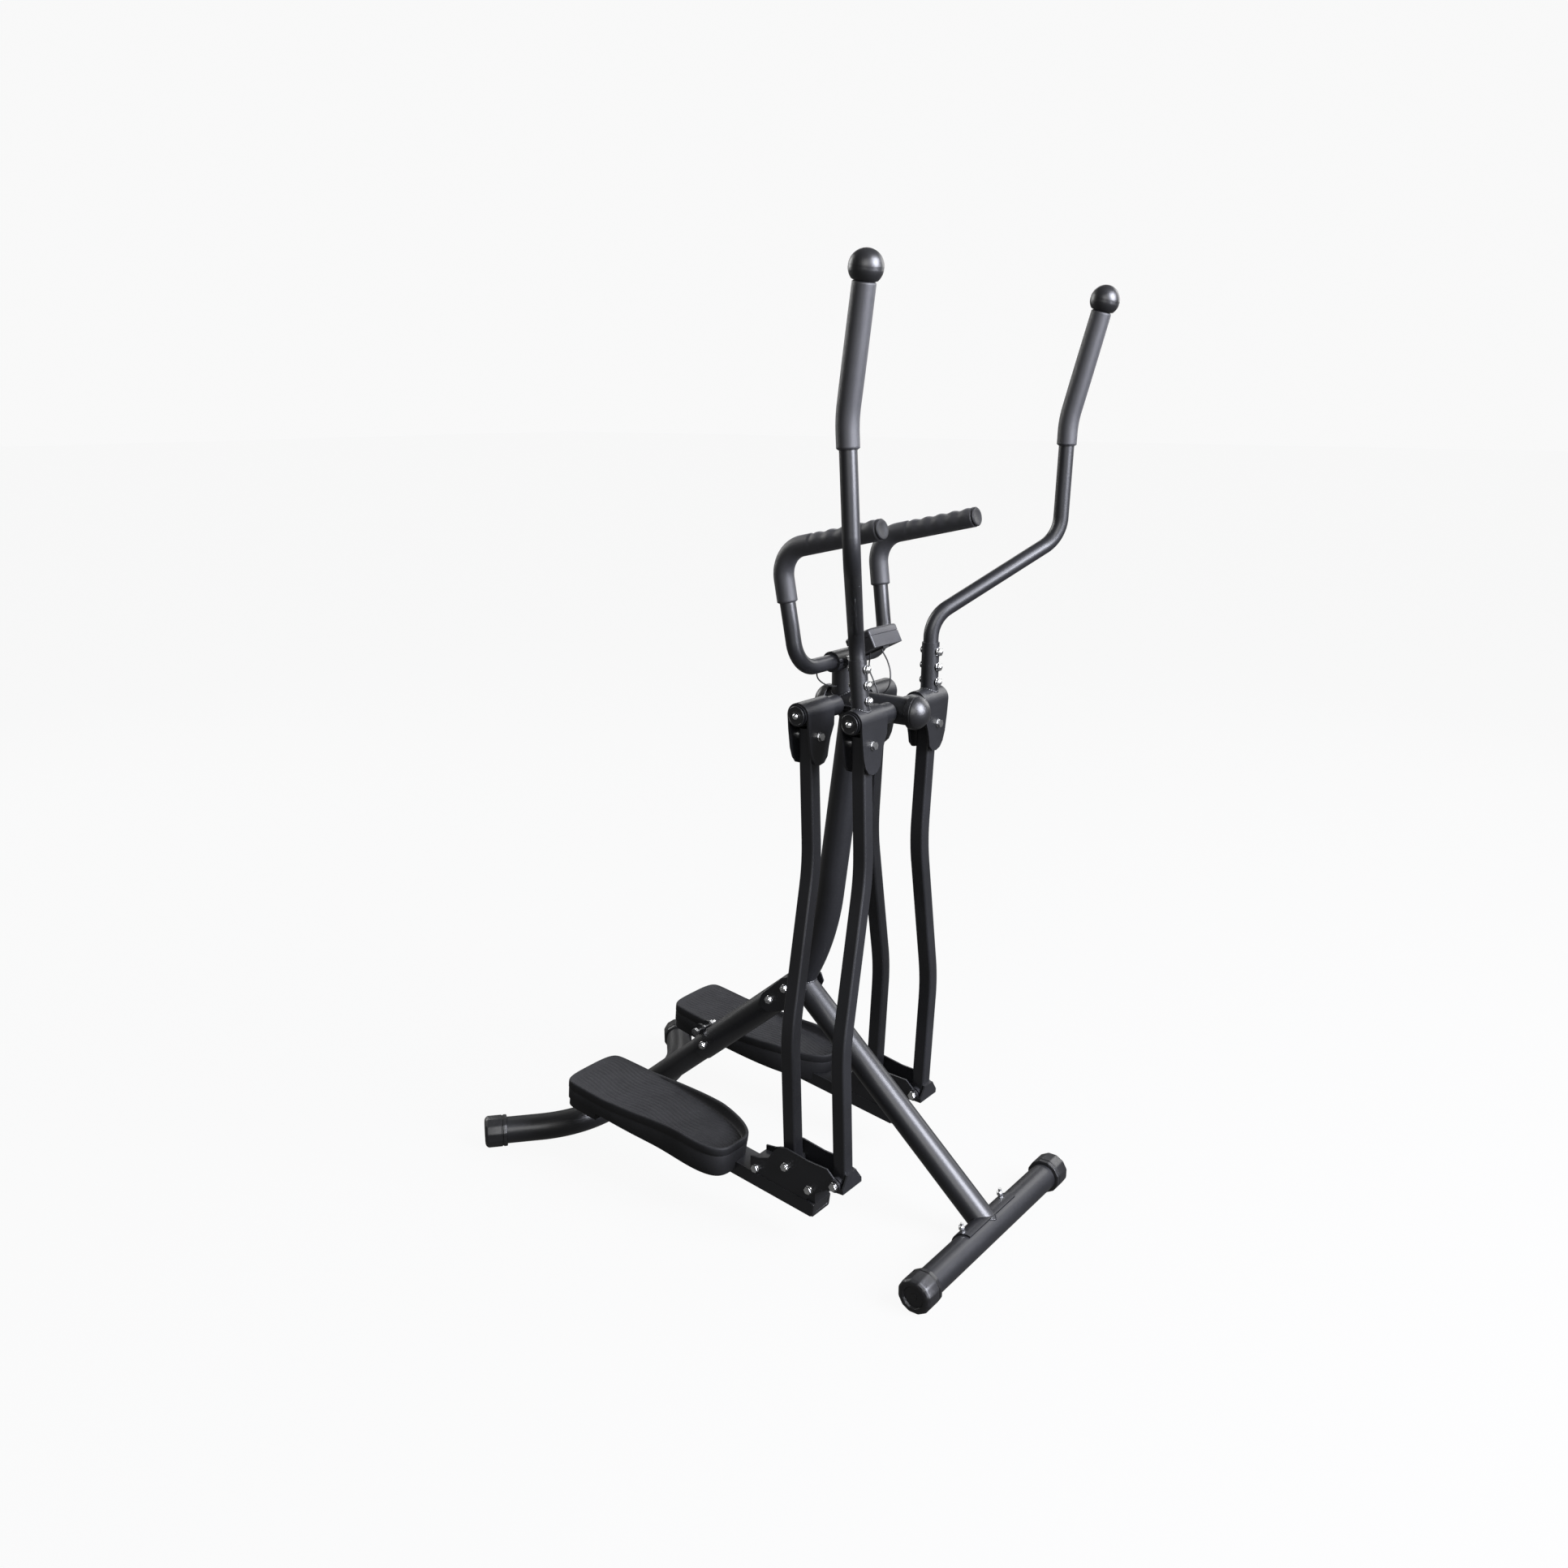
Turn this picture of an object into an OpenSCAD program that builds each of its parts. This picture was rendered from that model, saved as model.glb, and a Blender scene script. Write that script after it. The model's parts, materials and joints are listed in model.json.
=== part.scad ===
// Free-standing air-walk elliptical trainer: an A-frame, a hub beam with two axles, four swinging links,
// two pedals, two moving arms and a fixed handlebar with a console.
// Millimetres, +Z up, the user faces -Y and the user's right-hand side is -X.

/* [Frame] */
// Height of the axles above the floor
hub_z = 896; // [890:1:902]
// Distance between the front and the rear axle
axle_gap = 101; // [99:1:103]
// Distance from the hub centre forward to the front stabilizer
front_reach = 254; // [250:1:258]
// Distance from the hub centre back to the middle of the rear bow
rear_reach = 553; // [550:1:556]
// Length of the front stabilizer tube
stabilizer_w = 472; // [440:1:480]
// Diameter of the front stabilizer, the front leg and the post
post_d = 48; // [46:0.5:49]
// Diameter of the rear leg and the rear bow
rear_d = 50; // [49.5:0.5:51]
// Wall of the frame tubes
frame_wall = 2; // [1.5:0.1:2.5]
// Width across the flats of the twelve-sided end caps
cap_flats = 59; // [57:1:62]

/* [Swing] */
// Length of the links between their pivots
link_len = 757; // [750:1:764]
// Swing of the right links at rest
right_swing = -1.8; // [-3:0.1:3]
// Swing of the left links at rest
left_swing = 2.9; // [-3:0.1:3]
// Side of the square link tube
link_side = 25; // [24:0.5:26]
// Distance of the upper link ends from the middle plane
link_top_x = 102; // [100:1:104]
// Distance of the lower link ends from the middle plane
link_low_x = 173; // [172:1:176]
// Diameter of the axles
axle_d = 16; // [14:0.5:17]
// Half length of the axles
axle_half = 135; // [134:1:136]
// Radial clearance of the running fits
run_gap = 0.05; // [0.03:0.01:0.08]

/* [Pedals] */
// Downward slope of the pedal bar towards its front
pedal_pitch = 8.3; // [7:0.1:9]
// Length of the pedal
pedal_len = 362; // [355:1:366]
// Width of the pedal at its widest
pedal_w = 136; // [130:1:138]
// Width of the flat pedal bar
bar_w = 50; // [48:1:52]
// Height of the flat pedal bar
bar_h = 25; // [22:1:26]

/* [Handles] */
// Diameter of the moving arm tube
arm_d = 25; // [24:0.5:26]
// Diameter of the foam grips on the moving arms
arm_grip_d = 33; // [31:0.5:35]
// Diameter of the round caps on the moving arms
ball_d = 47; // [44:1:50]
// Diameter of the fixed handlebar
bar_d = 25; // [24:0.5:26]
// Diameter of the fixed grips
fixed_grip_d = 33; // [31:0.5:34]

/* [Console] */
// Width of the console
console_w = 82; // [78:1:90]
// Length of the console along its sloping face
console_l = 50; // [48:1:52]
// Thickness of the console
console_t = 32; // [30:1:34]
// Tilt of the console face back from upright
console_tilt = 63; // [58:1:68]

/* [Hidden] */
$fn = 64;

hub_y = -205.387;
foot_z = cap_flats / 2;
front_y = hub_y - front_reach;
rear_y = hub_y + rear_reach;
hole_gap = 0.1;
tidy = 0.01;
// Bent stretches are this much fuller, and straight ones reach this far into them
bend_swell = 0.05;
joint_lap = 0.3;
$grow = 0;

// Legs and post, as y behind the hub centre and z above the floor
leg_top = [135, 379];
post_pts = [[0, hub_y + 152, 358], [0, hub_y + 87.5, 470], [0, hub_y + 30, hub_z - 12]];
post_bend = 450;
bow_bend = 200;
bow_angle = 42;
bow_corner = 147;
bow_end = 276;
bow_rise = tan(bow_angle);
cap_len = 42;
apex_bolt_yz = [[153, 370], [187, 340]];
pin_yz = [346, 205];
pinch_yz = [363, 227];
miter_y = hub_y + 138;
saddle_bolt_x = 66;
saddle_bolt_y = 15;
bolt_r = 4;

// Hub
beam_r = 22.5;
beam_front = -90;
beam_rear = 84;
beam_cap_r = 27.5;
beam_cap_h = 20;
sleeve_r = 17;
sleeve_in = 26;
sleeve_out = 133;
bush_r = 11.5;
bush_len = 18;
plate_t = 3.5;
plate_y = 17;
plate_bolt_z = -37;
neck_r = 19;
clamp_r = 17;
clamp_half = 36;

// Links and pedals
link_wall = 1.6;
bend_top = 250;
bend_low = 530;
link_bend_r = 300;
pivot_r = 5;
pivot_tube_r = 11;
bracket_in = 21;
bracket_t = 3;
ear_in = 24.4;
ear_t = 3;
bar_drop = 75;
bar_front = -6;
bar_len = 430;
skirt_w = 9;
rim_w = 65;
tread_w = 45;
heel_w = 47;
heel_drop = 6;
heel_block = 76;
pedal_front = 166;
pedal_shift = 11;
lug_yz = [[2, -26], [113, -24]];

// Moving arm, from the front axle: x from the middle plane, y, z
arm_pts = [[link_top_x, 1, 16], [104, 7, 136], [295, -116, 267], [296, -112, 455], [305, -150, 640]];
arm_bends = [0, 55, 55, 160, 0];
arm_bolt_z = [32, 57, 82];
grip_start_z = 415;
grip_squeeze = 0.2;

// Fixed handlebar: right half from its end to the middle
bar_pts = [[141, hub_y - 105, 1196], [137, hub_y + 81, 1154], [128, hub_y + 53, 968]];
bar_bends = [0, 48, 46];
bar_mid_z = 968;
grip_collar_z = 1074;

// Console frame: origin at the middle of its back face
console_at = [0, hub_y - 12, 990];
lens_w = 54;
lens_l = 22;
lens_y = 8;
button_r = 6;
button_at = [0, -14];

black = [0.09, 0.09, 0.10];
plastic = [0.06, 0.06, 0.07];
foam = [0.13, 0.13, 0.14];
steel = [0.75, 0.75, 0.76];

function unit(v) = v / norm(v);
function frame(o, x, y, z) = [[x[0], y[0], z[0], o[0]], [x[1], y[1], z[1], o[1]], [x[2], y[2], z[2], o[2]],
    [0, 0, 0, 1]];
function heading(pts, i) = unit(pts[i + 1] - pts[i]);
function turn(pts, i) = acos(heading(pts, i - 1) * heading(pts, i));
function trim(pts, bends, i) = (i == 0 || i == len(pts) - 1) ? 0 : bends[i] * tan(turn(pts, i) / 2);

// Sweeps the 2D child along straight stretches joined by round bends
module run(pts, bends, across = [0, 1, 0.001]) {
    for (i = [0 : len(pts) - 2]) {
        z = heading(pts, i);
        y = unit(cross(z, across));
        a = pts[i] + z * (trim(pts, bends, i) - (i > 0 ? joint_lap : 0));
        b = pts[i + 1] - z * (trim(pts, bends, i + 1) - (i < len(pts) - 2 ? joint_lap : 0));
        multmatrix(frame(a, cross(y, z), y, z)) linear_extrude(norm(b - a)) let($grow = 0) children();
    }
    for (i = [1 : 1 : len(pts) - 2]) {
        u = heading(pts, i - 1);
        w = heading(pts, i);
        centre = pts[i] + unit(w - u) * bends[i] / cos(turn(pts, i) / 2);
        x = unit(pts[i] - u * trim(pts, bends, i) - centre);
        multmatrix(frame(centre, x, u, cross(x, u))) rotate_extrude(angle = turn(pts, i), $fn = 96)
            translate([bends[i], 0]) let($grow = bend_swell) children();
    }
}

// Profiles for run(): a full round bar and a round tube
module disc(r) {
    circle(r + $grow);
}

module ring(r, wall) {
    difference() {
        circle(r + $grow);
        circle(r - wall - $grow);
    }
}

module rounded_square(full, r) {
    side = full + 2 * $grow;
    union() {
        square([side, side - 2 * r], center = true);
        square([side - 2 * r, side], center = true);
        for (x = [-1, 1], y = [-1, 1]) translate([x, y] * (side / 2 - r)) circle(r);
    }
}

module rounded_box(size, r, h) {
    linear_extrude(h) union() {
        square([size[0], size[1] - 2 * r], center = true);
        square([size[0] - 2 * r, size[1]], center = true);
        for (x = [-1, 1], y = [-1, 1]) translate([x * (size[0] / 2 - r), y * (size[1] / 2 - r)]) circle(r);
    }
}

// Cylinder along X between two x positions, at a y and z
module x_rod(x0, x1, y, z, r) {
    translate([x0, y, z]) rotate([0, 90, 0]) cylinder(r = r, h = x1 - x0);
}

// Cylinder along Y between two y positions, at an x and z
module y_rod(y0, y1, x, z, r) {
    translate([x, y0, z]) rotate([-90, 0, 0]) cylinder(r = r, h = y1 - y0);
}

// Domed nut whose flat side is at the origin, dome towards +Z
module dome_nut(r, h) {
    rotate_extrude() {
        square([r, h * 0.35]);
        translate([0, h * 0.35]) intersection() {
            scale_dome = h * 0.65;
            translate([0, scale_dome - (r * r + scale_dome * scale_dome) / (2 * scale_dome)])
                circle((r * r + scale_dome * scale_dome) / (2 * scale_dome));
            square([r, scale_dome]);
        }
    }
}

module on_side(s) {
    if (s > 0) children();
    else mirror([1, 0, 0]) children();
}

function swing_of(s) = s > 0 ? left_swing : right_swing;

// Puts a link's own frame, with its axle along X at the origin, on the front (-1) or rear (1) axle
module on_axle(s, end) {
    on_side(s) translate([0, hub_y + end * axle_gap / 2, hub_z]) rotate([swing_of(s), 0, 0]) children();
}

// Puts the pedal's own frame midway between the two lower pivots
module on_pedal(s) {
    a = swing_of(s);
    on_side(s) translate([0, hub_y + link_len * sin(a), hub_z - link_len * cos(a)]) children();
}

// The pedal bar's own frame inside the pedal's: at the lower front edge of the bar, Y along it
module on_bar_frame() {
    translate([link_low_x, bar_front, -bar_drop]) rotate([pedal_pitch, 0, 0]) children();
}

module on_bar(s) {
    on_pedal(s) on_bar_frame() children();
}

// ---------------------------------------------------------------- stand

module stabilizer_bolt_cores(r) {
    for (x = [-1, 1]) translate([x * saddle_bolt_x, front_y + saddle_bolt_y, 2]) cylinder(r = r, h = 64);
}

module front_stabilizer() {
    color(black) difference() {
        x_rod(-stabilizer_w / 2, stabilizer_w / 2, front_y, foot_z, post_d / 2);
        x_rod(-stabilizer_w, stabilizer_w, front_y, foot_z, post_d / 2 - frame_wall);
        stabilizer_bolt_cores(3 + hole_gap);
    }
}

// Twelve-sided end cap over a tube end; the tube comes in along +X up to depth
module end_cap(tube_r) {
    wide = cap_flats / 2 / cos(15);
    rotate([0, 90, 0]) rotate(15) difference() {
        union() {
            cylinder(r = wide, h = cap_len - 4, $fn = 12);
            translate([0, 0, cap_len - 4]) cylinder(r = wide - 3, h = 4, $fn = 12);
        }
        translate([0, 0, -1]) cylinder(r = tube_r, h = cap_len - 7);
    }
}

module front_stabilizer_caps() {
    color(plastic) for (s = [-1, 1]) on_side(s)
        translate([stabilizer_w / 2 - cap_len + 8, front_y, foot_z]) end_cap(post_d / 2);
}

function bow_pts(e) = [[-e, rear_y + (e - bow_corner) * bow_rise, foot_z], [-bow_corner, rear_y, foot_z],
    [bow_corner, rear_y, foot_z], [e, rear_y + (e - bow_corner) * bow_rise, foot_z]];

function on_rear_leg(y) = [0, hub_y + y, foot_z + (rear_reach - y) * (leg_top[1] - foot_z)
    / (rear_reach - leg_top[0])];

module pin_core(r) {
    x_rod(-40, 40, hub_y + pin_yz[0], pin_yz[1], r);
}

module rear_stabilizer() {
    stem = [on_rear_leg(rear_reach), on_rear_leg(300)];
    color(black) {
        run(bow_pts(bow_end), [0, bow_bend, bow_bend, 0]) ring(rear_d / 2, frame_wall);
        difference() {
            run(stem, [0, 0]) ring(rear_d / 2 - frame_wall, frame_wall);
            x_rod(-60, 60, rear_y, foot_z, rear_d / 2 - frame_wall / 2);
            pin_core(bolt_r + hole_gap);
        }
    }
}

module rear_stabilizer_caps() {
    reach = (cap_len - 8) * cos(bow_angle);
    color(plastic) for (s = [-1, 1]) on_side(s)
        translate([bow_end - reach, rear_y + (bow_end - reach - bow_corner) * bow_rise, foot_z])
            rotate([0, 0, bow_angle]) end_cap(rear_d / 2);
}

post_bends = [0, post_bend, 0];

module post_body() {
    run(post_pts, post_bends) disc(post_d / 2);
}

module apex_bolt_cores(r) {
    for (p = apex_bolt_yz) x_rod(-32, 32, hub_y + p[0], p[1], r);
}

// Curved saddle plate behind the top of the front stabilizer, welded to the leg
module saddle(r0, r1, half) {
    intersection() {
        difference() {
            x_rod(-half, half, front_y, foot_z, r1);
            x_rod(-half - 1, half + 1, front_y, foot_z, r0);
        }
        translate([-half, front_y - 8, foot_z]) cube([2 * half, r1 + 8, r1]);
    }
}

module front_leg() {
    foot = [0, front_y, foot_z];
    top = [0, hub_y + leg_top[0] + 14, leg_top[1] + 12.6];
    color(black) difference() {
        union() {
            run([foot, top], [0, 0]) ring(post_d / 2, frame_wall);
            saddle(post_d / 2, post_d / 2 + 3, 78);
        }
        x_rod(-90, 90, front_y, foot_z, post_d / 2);
        post_body();
        translate([-50, miter_y, 300]) cube([100, 100, 150]);
        stabilizer_bolt_cores(3 + hole_gap);
    }
}

// Thin bolts through the saddle, with nuts that sit clear of its curve
module saddle_bolts() {
    top = foot_z + sqrt(pow(post_d / 2 + 3, 2) - pow(saddle_bolt_y - 5.5, 2)) + 0.3;
    color(steel) for (x = [-1, 1]) translate([x * saddle_bolt_x, front_y + saddle_bolt_y, 0]) {
        translate([0, 0, 9]) cylinder(r = 3, h = top + 11 - 9);
        translate([0, 0, top]) rotate(30) difference() {
            cylinder(r = 5.5, h = 5, $fn = 6);
            translate([0, 0, -1]) cylinder(r = 3 - tidy, h = 8);
        }
    }
}

module rear_leg() {
    line = [on_rear_leg(pin_yz[0] + 17), on_rear_leg(112)];
    color(black) difference() {
        run(line, [0, 0]) ring(rear_d / 2, frame_wall);
        post_body();
        translate([-50, miter_y - 100 + hole_gap, 300]) cube([100, 100, 150]);
        apex_bolt_cores(bolt_r + hole_gap);
        pin_core(bolt_r + hole_gap);
    }
    // Pinch lugs welded on top of the tube
    color(black) difference() {
        for (x = [-12, 8]) x_rod(x, x + 4, hub_y + pinch_yz[0], pinch_yz[1], 11);
        run(line, [0, 0]) disc(rear_d / 2 + bend_swell);
        x_rod(-40, 40, hub_y + pinch_yz[0], pinch_yz[1], bolt_r + hole_gap);
    }
}

// Through bolt of the telescoping leg and the pinch bolt above it
module leg_bolts() {
    head_x = rear_d / 2 + 0.3;
    color(steel) {
        translate([0, hub_y + pin_yz[0], pin_yz[1]]) {
            rotate([0, 90, 0]) translate([0, 0, -head_x]) cylinder(r = bolt_r, h = 2 * head_x);
            for (s = [-1, 1]) on_side(s) translate([head_x, 0, 0]) rotate([0, 90, 0]) dome_nut(6.5, 7);
        }
        translate([0, hub_y + pinch_yz[0], pinch_yz[1]]) rotate([0, 90, 0]) {
            translate([0, 0, -22]) cylinder(r = bolt_r, h = 54);
            translate([0, 0, -28]) cylinder(r = 7.5, h = 6, $fn = 6);
            translate([0, 0, 16]) difference() {
                cylinder(r = 7.5, h = 7, $fn = 6);
                translate([0, 0, -1]) cylinder(r = bolt_r - tidy, h = 9);
            }
        }
    }
}

module apex_bracket() {
    outline = [[132, 398], [112, 392], [106, 378], [118, 352], [136, 334], [190, 314], [212, 324], [204, 346],
        [158, 388]];
    color(black) for (s = [-1, 1]) on_side(s) difference() {
        translate([rear_d / 2, hub_y, 0]) rotate([90, 0, 90]) linear_extrude(3) polygon(outline);
        apex_bolt_cores(bolt_r + hole_gap);
    }
}

module apex_bolts() {
    head_x = rear_d / 2 + 3;
    color(steel) for (p = apex_bolt_yz) {
        x_rod(-head_x, head_x, hub_y + p[0], p[1], bolt_r);
        for (s = [-1, 1]) on_side(s)
            translate([head_x, hub_y + p[0], p[1]]) rotate([0, 90, 0]) dome_nut(6.5, 7);
    }
}

module main_post() {
    color(black) difference() {
        run(post_pts, post_bends) ring(post_d / 2, frame_wall);
        beam_body(beam_r);
        apex_bolt_cores(bolt_r + hole_gap);
    }
}

// ---------------------------------------------------------------- hub

module beam_body(r) {
    y_rod(hub_y + beam_front, hub_y + beam_rear, 0, hub_z, r);
}

module axle_cores(r) {
    for (end = [-1, 1]) x_rod(-60, 60, hub_y + end * axle_gap / 2, hub_z, r);
}

bar_y = bar_pts[2][1];

module top_beam() {
    color(black) difference() {
        union() {
            beam_body(beam_r);
            translate([0, bar_y, hub_z]) cylinder(r = neck_r, h = bar_mid_z - 5.3 - hub_z);
        }
        y_rod(hub_y + beam_front - 1, hub_y + beam_rear + 1, 0, hub_z, beam_r - 3);
        translate([0, bar_y, hub_z]) cylinder(r = neck_r - frame_wall, h = bar_mid_z - hub_z);
        x_rod(-40, 40, bar_y, bar_mid_z, clamp_r);
        axle_cores(axle_d / 2);
    }
}

// Domed end cap with a skirt over the end of the beam, dome towards -Y at the origin
module beam_cap() {
    skirt = 10;
    dome_r = (beam_cap_r * beam_cap_r + beam_cap_h * beam_cap_h) / (2 * beam_cap_h);
    rotate([90, 0, 0]) rotate_extrude() difference() {
        union() {
            translate([0, -skirt]) square([beam_cap_r, skirt]);
            intersection() {
                translate([0, beam_cap_h - dome_r]) circle(dome_r);
                square([beam_cap_r, beam_cap_h]);
            }
        }
        translate([0, -skirt - 1]) square([beam_r, skirt + 1]);
    }
}

// Caps of the beam and, in the same moulding, the washers over the four sleeve ends
module hub_caps() {
    color(plastic) {
        translate([0, hub_y + beam_front, hub_z]) beam_cap();
        translate([0, hub_y + beam_rear, hub_z]) rotate(180) beam_cap();
        for (s = [-1, 1], end = [-1, 1]) on_side(s) difference() {
            x_rod(axle_half, axle_half + 2, hub_y + end * axle_gap / 2, hub_z, sleeve_r - 1);
            x_rod(axle_half - 1, axle_half + 3, hub_y + end * axle_gap / 2, hub_z, bolt_r);
        }
    }
}

module axles() {
    color(steel) for (end = [-1, 1]) difference() {
        x_rod(-axle_half, axle_half, hub_y + end * axle_gap / 2, hub_z, axle_d / 2);
        for (s = [-1, 1]) on_side(s)
            x_rod(axle_half - 20, axle_half + 1, hub_y + end * axle_gap / 2, hub_z, bolt_r);
    }
}

module axle_bolts() {
    for (s = [-1, 1], end = [-1, 1]) on_side(s) translate([axle_half, hub_y + end * axle_gap / 2, hub_z])
        rotate([0, 90, 0]) {
            color(steel) translate([0, 0, 2]) dome_nut(5, 5);
            color(steel) translate([0, 0, -18]) cylinder(r = bolt_r, h = 20);
        }
}

// U-shaped hanger: a sleeve on the axle, a plate bent over it and two tongues that hold the link
module hanger() {
    mid = link_top_x;
    profile = [[-44, 0], [29, 0], [28, -24], [25, -54], [20, -70], [12, -80], [0, -84], [-12, -82], [-22, -73],
        [-26, -58], [-31, -44], [-42, -24]];
    outer = plate_y + plate_t;
    difference() {
        union() {
            x_rod(sleeve_in, sleeve_out, 0, 0, sleeve_r);
            intersection() {
                x_rod(mid - 44, mid + 29, 0, 0, outer);
                translate([0, -outer, 0]) cube([200, 2 * outer, outer]);
            }
            for (y = [-1, 1]) translate([mid, y * (plate_y + plate_t / 2) + plate_t / 2, 0]) rotate([90, 0, 0])
                linear_extrude(plate_t) polygon(profile);
        }
        x_rod(sleeve_in - 1, sleeve_out + 1, 0, 0, bush_r);
        y_rod(-30, 30, mid, plate_bolt_z, bolt_r + hole_gap);
    }
}

// Sloping socket on the front hanger that takes the foot of the moving arm
socket_top = 96;
socket_r = arm_d / 2 + 2;

function on_arm(z) = arm_pts[0]
    + (arm_pts[1] - arm_pts[0]) * (z - arm_pts[0][2]) / (arm_pts[1][2] - arm_pts[0][2]);

module arm_bolt_cores(r) {
    for (z = arm_bolt_z)
        translate(on_arm(z)) rotate([90, 0, 0]) translate([0, 0, -18]) cylinder(r = r, h = 42);
}

module front_hanger(s) {
    color(black) on_axle(s, -1) difference() {
        union() {
            hanger();
            run([on_arm(14), on_arm(socket_top)], [0, 0]) disc(socket_r);
        }
        run([on_arm(20), on_arm(socket_top + 1)], [0, 0]) disc(arm_d / 2);
        x_rod(sleeve_in - 1, sleeve_out + 1, 0, 0, bush_r);
        arm_bolt_cores(bolt_r + hole_gap);
    }
}

module rear_hanger(s) {
    color(black) on_axle(s, 1) hanger();
}

module bushings(s, end) {
    color(plastic) on_axle(s, end) for (x = [sleeve_in, sleeve_out - bush_len]) difference() {
        x_rod(x, x + bush_len, 0, 0, bush_r);
        x_rod(x - 1, x + bush_len + 1, 0, 0, axle_d / 2 + run_gap);
    }
}

// ---------------------------------------------------------------- links

module link_path(z0, z1) {
    run([[link_top_x, 0, z0], [link_top_x, 0, -bend_top], [link_low_x, 0, -bend_low], [link_low_x, 0, z1]],
        [0, link_bend_r, link_bend_r, 0]) children();
}

// S-bent square tube with a cross tube for its lower pivot
module link(pivot_gap) {
    difference() {
        union() {
            difference() {
                link_path(-24, -link_len - 14) difference() {
                    rounded_square(link_side, 4);
                    let($grow = -$grow) rounded_square(link_side - 2 * link_wall, 4 - link_wall);
                }
                y_rod(-30, 30, link_top_x, plate_bolt_z, bolt_r + hole_gap);
            }
            x_rod(link_low_x - bracket_in + 0.5, link_low_x + bracket_in - 0.5, 0, -link_len, pivot_tube_r);
        }
        x_rod(link_low_x - 40, link_low_x + 40, 0, -link_len, pivot_r + pivot_gap);
    }
}

// Forked foot in front of the front link, its ears outside the pedal bracket and a tapered web between them
module link_foot() {
    ear_out = ear_in + ear_t;
    web = [[-ear_out, -10], [ear_out, -10], [ear_out, -2], [link_side / 2, 18],
        [-link_side / 2, 18], [-ear_out, -2]];
    difference() {
        translate([link_low_x, 0, -link_len]) union() {
            for (x = [-ear_out, ear_in]) translate([x, 0, 0]) {
                rotate([0, 90, 0]) cylinder(r = 11, h = ear_t);
                translate([0, -18, -10]) cube([ear_t, 18, 8]);
            }
            translate([0, -15, 0]) rotate([90, 0, 0]) linear_extrude(3) polygon(web);
            translate([-link_side / 2, -15.5, 10]) cube([link_side, 15.5 - link_side / 2, 8]);
        }
        x_rod(link_low_x - 40, link_low_x + 40, 0, -link_len, pivot_r + run_gap);
    }
}

module front_link(s) {
    color(black) on_axle(s, -1) union() {
        link(run_gap);
        link_foot();
    }
}

module rear_link(s) {
    color(black) on_axle(s, 1) link(0.6);
}

// Bolt along Y through both tongues and the link, with spacer rings beside the link
module hanger_bolt() {
    face = plate_y + plate_t;
    y_rod(-face, face, link_top_x, plate_bolt_z, bolt_r);
    for (y = [-1, 1]) difference() {
        y_rod(y > 0 ? link_side / 2 : -plate_y, y > 0 ? plate_y : -link_side / 2, link_top_x,
            plate_bolt_z, 9);
        y_rod(-face, face, link_top_x, plate_bolt_z, bolt_r - tidy);
    }
    translate([link_top_x, -face, plate_bolt_z]) rotate([90, 0, 0]) {
        cylinder(r = 7, h = 1.5);
        translate([0, 0, 1.5]) cylinder(r = 6.5, h = 5, $fn = 6);
    }
    translate([link_top_x, face, plate_bolt_z]) rotate([-90, 0, 0]) dome_nut(6.5, 7.5);
}

module rear_bolt(s) {
    color(steel) on_axle(s, 1) hanger_bolt();
}

module front_bolts(s) {
    color(steel) on_axle(s, -1) {
        hanger_bolt();
        for (z = arm_bolt_z) translate(on_arm(z)) rotate([90, 0, 0]) {
            translate([0, 0, -socket_r - 0.5]) cylinder(r = bolt_r, h = 2 * socket_r + 1);
            translate([0, 0, socket_r + 0.5]) dome_nut(6.5, 8);
            translate([0, 0, -socket_r - 0.5]) rotate([180, 0, 0]) dome_nut(6, 3);
        }
    }
}

// ---------------------------------------------------------------- moving arms

arm_last = len(arm_pts) - 1;
arm_lean = unit(arm_pts[arm_last] - arm_pts[arm_last - 1]);

module arm(s) {
    from_foot = concat([on_arm(20)], [for (i = [1 : arm_last]) arm_pts[i]]);
    color(black) on_axle(s, -1) difference() {
        run(from_foot, arm_bends) ring(arm_d / 2, 2);
        arm_bolt_cores(bolt_r + hole_gap);
    }
}

module arm_grip(s) {
    up = heading(arm_pts, 2);
    start = arm_pts[2] + up * (grip_start_z - arm_pts[2][2]) / up[2];
    pts = [start, arm_pts[3], arm_pts[4] - 14 * arm_lean];
    color(foam) on_axle(s, -1)
        run(pts, [0, arm_bends[3], 0]) ring(arm_grip_d / 2, (arm_grip_d - arm_d) / 2 + grip_squeeze);
}

// Round cap over the arm end, a ball on a short collar
module arm_cap(s) {
    side = unit(cross(arm_lean, [0, 1, 0]));
    color(plastic) on_axle(s, -1) multmatrix(frame(arm_pts[arm_last], cross(side, arm_lean), side, arm_lean))
        difference() {
            rotate_extrude() intersection() {
                union() {
                    translate([0, 2.5]) circle(ball_d / 2);
                    translate([0, -14]) square([arm_grip_d / 2, 12]);
                }
                translate([0, -14]) square([ball_d, 60]);
            }
            translate([0, 0, -20]) cylinder(r = arm_d / 2, h = 20);
        }
}

// ---------------------------------------------------------------- pedals

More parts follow.
